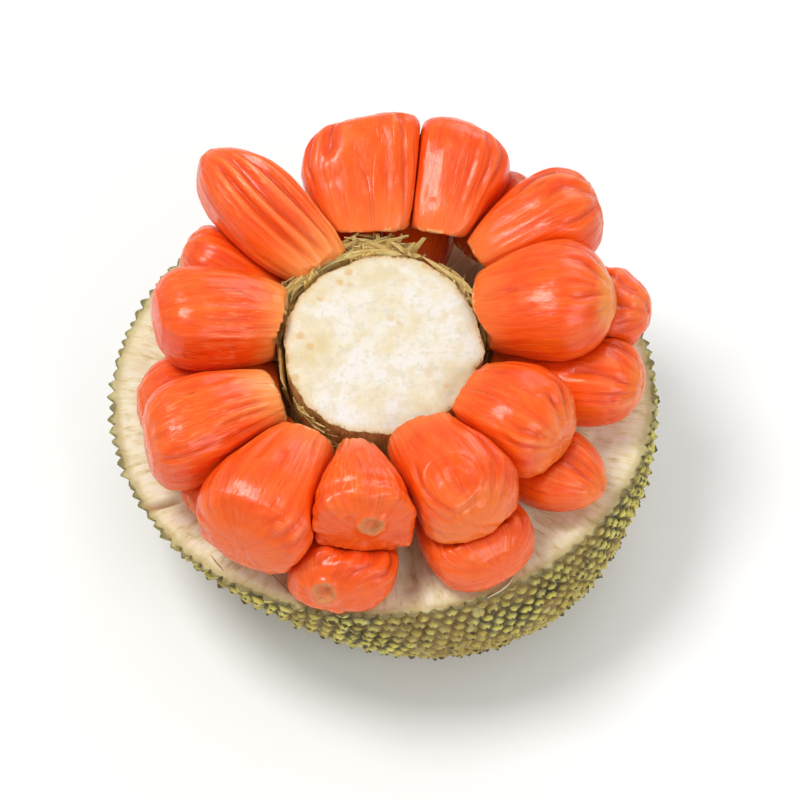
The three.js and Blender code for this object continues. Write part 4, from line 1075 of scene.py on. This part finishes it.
    # a notch where the knife slipped, and a torn recess between two pods at the front; each is painted darker inside,
    # painted shade in the recess
    stain_and_shade = np.zeros_like(x)
    for (cx, cy, dx, dy, ln, wd, dp, st_) in NOTCHES:
        ux, uy = x - cx, y - cy
        al, ac = ux * dx + uy * dy, -ux * dy + uy * dx
        m = np.exp(-((al / ln) ** 4)) * np.exp(-((ac / wd) ** 2))
        z = z - dp * m
        stain_and_shade = np.maximum(stain_and_shade, st_ * m)
    # painted shade: the pith round the core and under the pods' bases is painted dark brown, where the gaps between the
    # pods fall in shade
    stain_and_shade = np.maximum(stain_and_shade, 0.95 * (1 - smooth(rr + 4 * noise3(np.stack([x, y, 0 * x], -1), 9, 16), 58 + 38 * smooth(y, -10, 45), 70 + 40 * smooth(y, -10, 45))))
    rings[..., 2] = z
    nV = len(V)
    ridx = nV + np.arange(rings.shape[0] * npth).reshape(rings.shape[0], npth)
    centre = nV + rings.shape[0] * npth
    allV = np.concatenate([V, rings.reshape(-1, 3), [[0, 0, -PITH_DISH - 0.3]]])
    # zip the cut edge to the first ring
    zipf = []
    i = j = 0
    n, m = len(loop), npth
    angA = np.concatenate([ang, [ang[0] + 2 * PI]])
    angB = np.concatenate([tt, [tt[0] + 2 * PI]])
    while i < n or j < m:
        if j >= m or (i < n and angA[i + 1] <= angB[j + 1]):
            zipf.append((loop[i % n], loop[(i + 1) % n], ridx[0, j % m]))
            i += 1
        else:
            zipf.append((loop[i % n], ridx[0, (j + 1) % m], ridx[0, j % m]))
            j += 1
    zipf = np.array(zipf)
    nr_ = np.roll(ridx, -1, 1)
    quads = np.stack([ridx[:-1], nr_[:-1], nr_[1:], ridx[1:]], -1).reshape(-1, 4)
    fan = np.stack([ridx[-1], nr_[-1], np.full(npth, centre)], -1)
    # the skin faces down and out
    a0, b0, c0 = V[T3[:, 0]], V[T3[:, 1]], V[T3[:, 2]]
    nz = np.cross(b0 - a0, c0 - a0)
    cen = (a0 + b0 + c0) / 3 - np.array([REST_CENTRE[0] * 0.5, REST_CENTRE[1] * 0.5, -20.0])
    if np.einsum("ij,ij->i", nz, cen).sum() < 0:
        T3 = T3[:, ::-1]
    top = [quads, zipf, fan]
    faces = [T3, quads, zipf, fan]
    mats = np.concatenate([np.zeros(len(T3)), np.ones(len(quads) + len(zipf) + len(fan))])
    smooth_f = np.concatenate([np.zeros(len(T3), bool), np.ones(len(quads) + len(zipf) + len(fan), bool)])
    thv = np.arctan2(allV[:, 1], allV[:, 0])
    rv = np.hypot(allV[:, 0], allV[:, 1])
    attrs = {
        "spike": np.concatenate([spike, np.zeros(len(allV) - nV)]),
        "own": np.concatenate([own, np.zeros(len(allV) - nV)]),
        "rim": np.concatenate([np.zeros(nV), depth_rim.reshape(-1), [120.0]]),
        "stain_and_shade": np.concatenate([np.zeros(nV), stain_and_shade.reshape(-1), [0.0]]),
        "grain": np.stack([np.cos(thv) * 9, np.sin(thv) * 9, rv / 55.0], -1),
    }
    return allV, faces, attrs, mats, smooth_f


# x, y, direction, half-length, half-width, depth, how much darker inside (painted shade in the recess)
NOTCHES = [
    (-106.0, -70.0, 0.93, 0.37, 9.0, 1.8, 4.5, 1.0),
    (12.0, -112.0, 0.12, -0.99, 17.0, 5.5, 2.2, 0.6),
    (30.0, -131.0, 0.97, 0.24, 8.0, 1.4, 0.8, 0.6),
]
# path, radius, how brown
FIBRES = [
    ([[-82.1, -100.8, 0.2], [-79.5, -104.8, 0.5], [-75.6, -109.6, 0.1]], 0.26, 1.0),
    ([[-59.7, -105.7, 0.1], [-51.5, -113.8, 0.6], [-41.1, -126.1, 0.1]], 0.26, 1.0),
    ([[46.9, -127.7, 0.2], [53.0, -125.0, 1.6], [56.9, -121.8, 1.5], [59.6, -116.9, 0.2]], 0.50, 0.35),
]


def add_fibre(path, radius, stain_and_shade):
    """A thin fibre that lies on the cut, as a closed tube."""
    global verts, attrs, mats, smooth_f
    p = np.array(path, float)
    u = np.linspace(0, 1, 22)
    x = np.linspace(0, 1, len(p))
    c = np.stack([np.interp(u, x, p[:, k]) for k in range(3)], -1)
    for _ in range(3):
        c[1:-1] = 0.25 * c[:-2] + 0.5 * c[1:-1] + 0.25 * c[2:]
    d = np.gradient(c, axis=0)
    d /= np.linalg.norm(d, axis=1, keepdims=True)
    a_ = np.cross(d, [0, 0, 1.0])
    a_ /= np.linalg.norm(a_, axis=1, keepdims=True)
    b_ = np.cross(a_, d)
    f = np.arange(7) / 7 * 2 * PI
    rr = radius * (0.35 + 0.65 * np.sin(PI * np.clip(u, 0.04, 0.96)) ** 0.5)
    ring = c[:, None] + rr[:, None, None] * (np.cos(f)[None, :, None] * a_[:, None] + np.sin(f)[None, :, None] * b_[:, None])
    pts = np.concatenate([c[:1], ring.reshape(-1, 3), c[-1:]])
    quads, tris = tube_faces(23, 7)
    fs = outward(pts, [quads, tris])
    n0, m = len(verts), len(pts)
    verts = np.concatenate([verts, pts])
    for q in fs:
        faces.append(q + n0)
        mats = np.concatenate([mats, np.ones(len(q))])
        smooth_f = np.concatenate([smooth_f, np.ones(len(q), bool)])
    for key, v in (("spike", 0.0), ("own", 0.0), ("rim", 30.0), ("stain_and_shade", stain_and_shade)):
        attrs[key] = np.concatenate([attrs[key], np.full(m, v)])
    attrs["grain"] = np.concatenate([attrs["grain"], pts / 9.0])


verts, faces, attrs, mats, smooth_f = build_rind()
for path, radius, stain_and_shade in FIBRES:
    add_fibre(path, radius, stain_and_shade)
rind = make_object("rind_and_pith", verts, faces, [MAT_SKIN, MAT_PITH], attrs, mats, smooth_f)
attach(rind, "root")
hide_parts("rind")

# ------------------------------------------------------------------ rag strips on the core's side
RAGS = [
    ("rag_strip_01", 130, 14, 0.30, 0.97, 0.7, 1.5, 0.9),
    ("rag_strip_02", 100, 13, 0.35, 0.93, 0.7, 1.3, 0.9),
    ("rag_strip_03", 157, 10, 0.25, 0.90, 0.7, 1.2, 0.9),
    ("rag_strip_04", 186, 12, 0.20, 0.86, 0.7, 1.1, 0.9),
    ("rag_strip_05", 222, 10, 0.20, 0.88, 0.7, 1.1, 0.9),
    ("rag_strip_06", 286, 12, 0.30, 0.93, 0.7, 1.2, 0.9),
    ("rag_strip_07", 332, 9, 0.25, 0.84, 0.7, 1.1, 0.9),
    ("rag_strip_08", 34, 14, 0.25, 0.90, 0.7, 1.2, 0.9),
]


def build_rag(row, index):
    """Peeled layers that lie along the core's side, and torn fibres that stand out from it."""
    name, middle, half, low, high, off0, off1, thick = row
    r = np.random.default_rng(300 + index)
    reach, wide, count = RAG_REACH[name]
    parts, faces4, at = [], [], 0
    grain, own = [], []
    sheets = [("layer", k) for k in range(3)] + [("fibre", k) for k in range(count)] + [("sweep", k) for k in range(max(count // 2, 5))]
    for kind, k in sheets:
        nx, ny = (44, 12) if kind == "layer" else (6, 14)
        X, Y = np.meshgrid(np.linspace(-1, 1, nx + 1), np.linspace(0, 1, ny + 1), indexing="ij")
        seed = np.stack([X * 9, Y * 0 + k * 5, Y * 0 + index], -1)
        if kind == "layer":
            f = np.radians(middle + r.uniform(-0.12, 0.12) * half + half * wide * r.uniform(0.75, 1.0) * X)
            crest = 1 - 0.7 * X * X
            fray = 0.09 * noise3(seed, 1.0, 31) + 0.05 * noise3(seed * 3, 1.0, 32)
            bot = low + 0.05 * noise3(seed, 1.0, 33)
            top = high + 0.03 - (0.05 if reach < 5 else 0.015) * k + fray
            h = bot + (top - bot) * (0.5 + (Y - 0.5) * crest)
            off = off0 + (off1 - off0) * Y + k * (0.35 + 0.13 * max(reach - 3, 0)) * (0.2 + 0.8 * Y**1.3)
            off = off + 0.2 * noise3(np.stack([X * 7, Y * 2, X * 0 + k + index], -1), 1.0, 35)
            th = 0.30 * (1 - 0.6 * X * X) + 0.05
            colour = 0.15 * k + r.uniform(0, 0.1)
        elif kind == "sweep":
            # a bract peeled off along the rim, one end lifted and leaning out
            a0 = middle + half * wide * r.uniform(-1, 1)
            turn, out = r.choice([-1, 1, 1]) * r.uniform(10, 34) * (1 if reach > 5 else 0.5), reach * r.uniform(0.05, 0.9) ** 1.3
            size = r.uniform(0.35, 0.7 + 0.11 * reach)
            w = size * np.sin(PI * np.clip(Y, 0, 1) ** 0.7) ** 0.7 + 0.15
            f = np.radians(a0 + turn * (Y - 0.5) + 0.25 * reach * noise3(np.stack([Y * 2.5, X * 0 + k, X * 0 + index], -1), 1.0, 49))
            lift = r.uniform(-1.0, 2.4)
            h = high + r.uniform(-0.16, 0.02) + 0.05 * lift * (Y - 0.4) + X * w * 0.7 / core_length + 0.012 * noise3(seed * 2, 1.0, 47)
            off = off0 + 0.6 + out * (0.35 + 0.65 * Y**1.3) + (X + 1) * w * 0.6 + 0.3 * noise3(np.stack([X + k, Y * 4, X * 0 + index], -1), 1.0, 48)
            th = 0.24 * (1 - 0.5 * X * X) + 0.05
            colour = r.uniform(0.0, 0.75)
        else:
            a0 = middle + half * wide * r.uniform(-1, 1)
            turn, out = r.normal(0, 9), reach * r.uniform(0.25, 1.0)
            width = r.uniform(0.4, 1.6 + 0.10 * reach) * (1 - 0.7 * Y ** 1.5) + 0.3 * noise3(seed, 1.0, 41)
            f = np.radians(a0 + turn * Y + 0.4 * reach * Y * noise3(np.stack([Y * 2.5, X * 0 + k, X * 0 + index], -1), 1.0, 50)) + X * width / 50.0
            h0, h1 = r.uniform(0.30, 0.75), high + r.uniform(-0.22, 0.08) - (0.02 * out if reach < 5 else 0.004 * out)
            h = h0 + (h1 - h0) * Y + 0.02 * noise3(seed * 2, 1.0, 43)
            off = off0 + 0.5 + out * Y ** 1.6 + 0.35 * noise3(np.stack([X * 0 + k, Y * 3, X * 0 + index], -1), 1.0, 44)
            th = 0.28 * (1 - 0.5 * X * X) * (1 - 0.6 * Y) + 0.05
            colour = r.uniform(0.1, 1.0)
        inner, outer = core_point(f, h, 1.0, off), core_point(f, h, 1.0, off + th)
        n0 = (nx + 1) * (ny + 1)
        idx = np.arange(n0).reshape(nx + 1, ny + 1)
        a, b = at + idx, at + n0 + idx
        parts += [inner.reshape(-1, 3), outer.reshape(-1, 3)]
        g = np.stack([X * 1.4 + index * 2.3 + k, Y * 0.5, X * 0 + k * 1.7], -1).reshape(-1, 3)
        grain += [g, g]
        own += [np.full(2 * n0, colour)]
        faces4.append(np.stack([b[:-1, :-1], b[1:, :-1], b[1:, 1:], b[:-1, 1:]], -1).reshape(-1, 4))
        faces4.append(np.stack([a[:-1, :-1], a[:-1, 1:], a[1:, 1:], a[1:, :-1]], -1).reshape(-1, 4))
        faces4.append(np.stack([a[:-1, 0], a[1:, 0], b[1:, 0], b[:-1, 0]], -1))
        faces4.append(np.stack([a[1:, -1], a[:-1, -1], b[:-1, -1], b[1:, -1]], -1))
        faces4.append(np.stack([a[0, 1:], a[0, :-1], b[0, :-1], b[0, 1:]], -1))
        faces4.append(np.stack([a[-1, :-1], a[-1, 1:], b[-1, 1:], b[-1, :-1]], -1))
        at += 2 * n0
    verts = np.concatenate(parts)
    return verts, outward(verts, [np.concatenate(faces4)]), {"grain": np.concatenate(grain), "own": np.concatenate(own)}


# how far out the fibres stand (mm), how wide the strip spreads, how many fibres
RAG_REACH = {
    "rag_strip_01": (13.0, 1.35, 80),
    "rag_strip_02": (17.0, 1.6, 96),
    "rag_strip_03": (10.0, 1.3, 52),
    "rag_strip_04": (2.4, 1.1, 14),
    "rag_strip_05": (1.8, 1.1, 12),
    "rag_strip_06": (1.4, 1.1, 12),
    "rag_strip_07": (2.0, 1.2, 14),
    "rag_strip_08": (8.0, 1.6, 44),
}
for index, row in enumerate(RAGS):
    verts, faces, attrs = build_rag(row, index)
    piece = make_object(row[0].replace("rag_strip", "rag"), verts, faces, [MAT_RAG], attrs)
    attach(piece, "root")
    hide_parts(row[0])

# ------------------------------------------------------------------ camera, floor and lights
ELEV, DIST, FOCAL_PX, ROLL = math.radians(53.9), 0.850, 1690.6, math.radians(-1.476)
target = (np.array([9.01, -12.92, 0.0]) - ORIGIN) / 1000.0
back = np.array([0, -math.cos(ELEV), math.sin(ELEV)])
right, up = np.array([1.0, 0, 0]), np.array([0, math.sin(ELEV), math.cos(ELEV)])
R = math.cos(ROLL) * right + math.sin(ROLL) * up
U = -math.sin(ROLL) * right + math.cos(ROLL) * up
cam = bpy.data.cameras.new("camera")
cam.sensor_width = 36.0
cam.lens = FOCAL_PX * 36.0 / 800.0
cam.clip_start, cam.clip_end = 0.05, 50.0
cam_obj = bpy.data.objects.new("camera", cam)
bpy.context.scene.collection.objects.link(cam_obj)
p = target + DIST * back
cam_obj.matrix_world = Matrix(((R[0], U[0], back[0], p[0]), (R[1], U[1], back[1], p[1]), (R[2], U[2], back[2], p[2]), (0, 0, 0, 1)))
bpy.context.scene.camera = cam_obj


def area_light(name, loc, aim, size, power, color=(1, 1, 1)):
    l = bpy.data.lights.new(name, "AREA")
    l.shape = "DISK"
    l.size, l.energy, l.color = size, power, color
    o = bpy.data.objects.new(name, l)
    bpy.context.scene.collection.objects.link(o)
    o.location = loc
    o.rotation_euler = (Vector(aim) - Vector(loc)).to_track_quat("-Z", "Y").to_euler()
    return o


area_light("key", (-0.50, 0.10, 1.25), (0, 0, 0.08), 0.50, 9.1, (1.0, 0.99, 0.97))
area_light("fill", (0.75, -0.95, 0.9), (0, 0, 0.06), 0.9, 6.6, (0.98, 0.99, 1.0))
area_light("rear", (0.5, 1.1, 0.8), (0, 0, 0.06), 0.8, 3.6)

world = bpy.data.worlds.new("studio")
bpy.context.scene.world = world
world.use_nodes = True
world.node_tree.nodes["Background"].inputs[0].default_value = (1.0, 1.0, 1.0, 1.0)
world.node_tree.nodes["Background"].inputs[1].default_value = 0.47
bpy.context.scene.view_settings.view_transform = "Standard"

fl = Nodes("floor_pale")
fl.set(Base_Color=(0.96, 0.96, 0.955), Roughness=0.7, Specular_IOR_Level=0.2)
fm = bpy.data.meshes.new("floor")
bm = bmesh.new()
bmesh.ops.create_grid(bm, x_segments=2, y_segments=2, size=3.0)
bm.to_mesh(fm)
bm.free()
fm.materials.append(fl.mat)
floor = bpy.data.objects.new("floor", fm)
floor.location = (0, 0, -0.0003)
bpy.context.scene.collection.objects.link(floor)
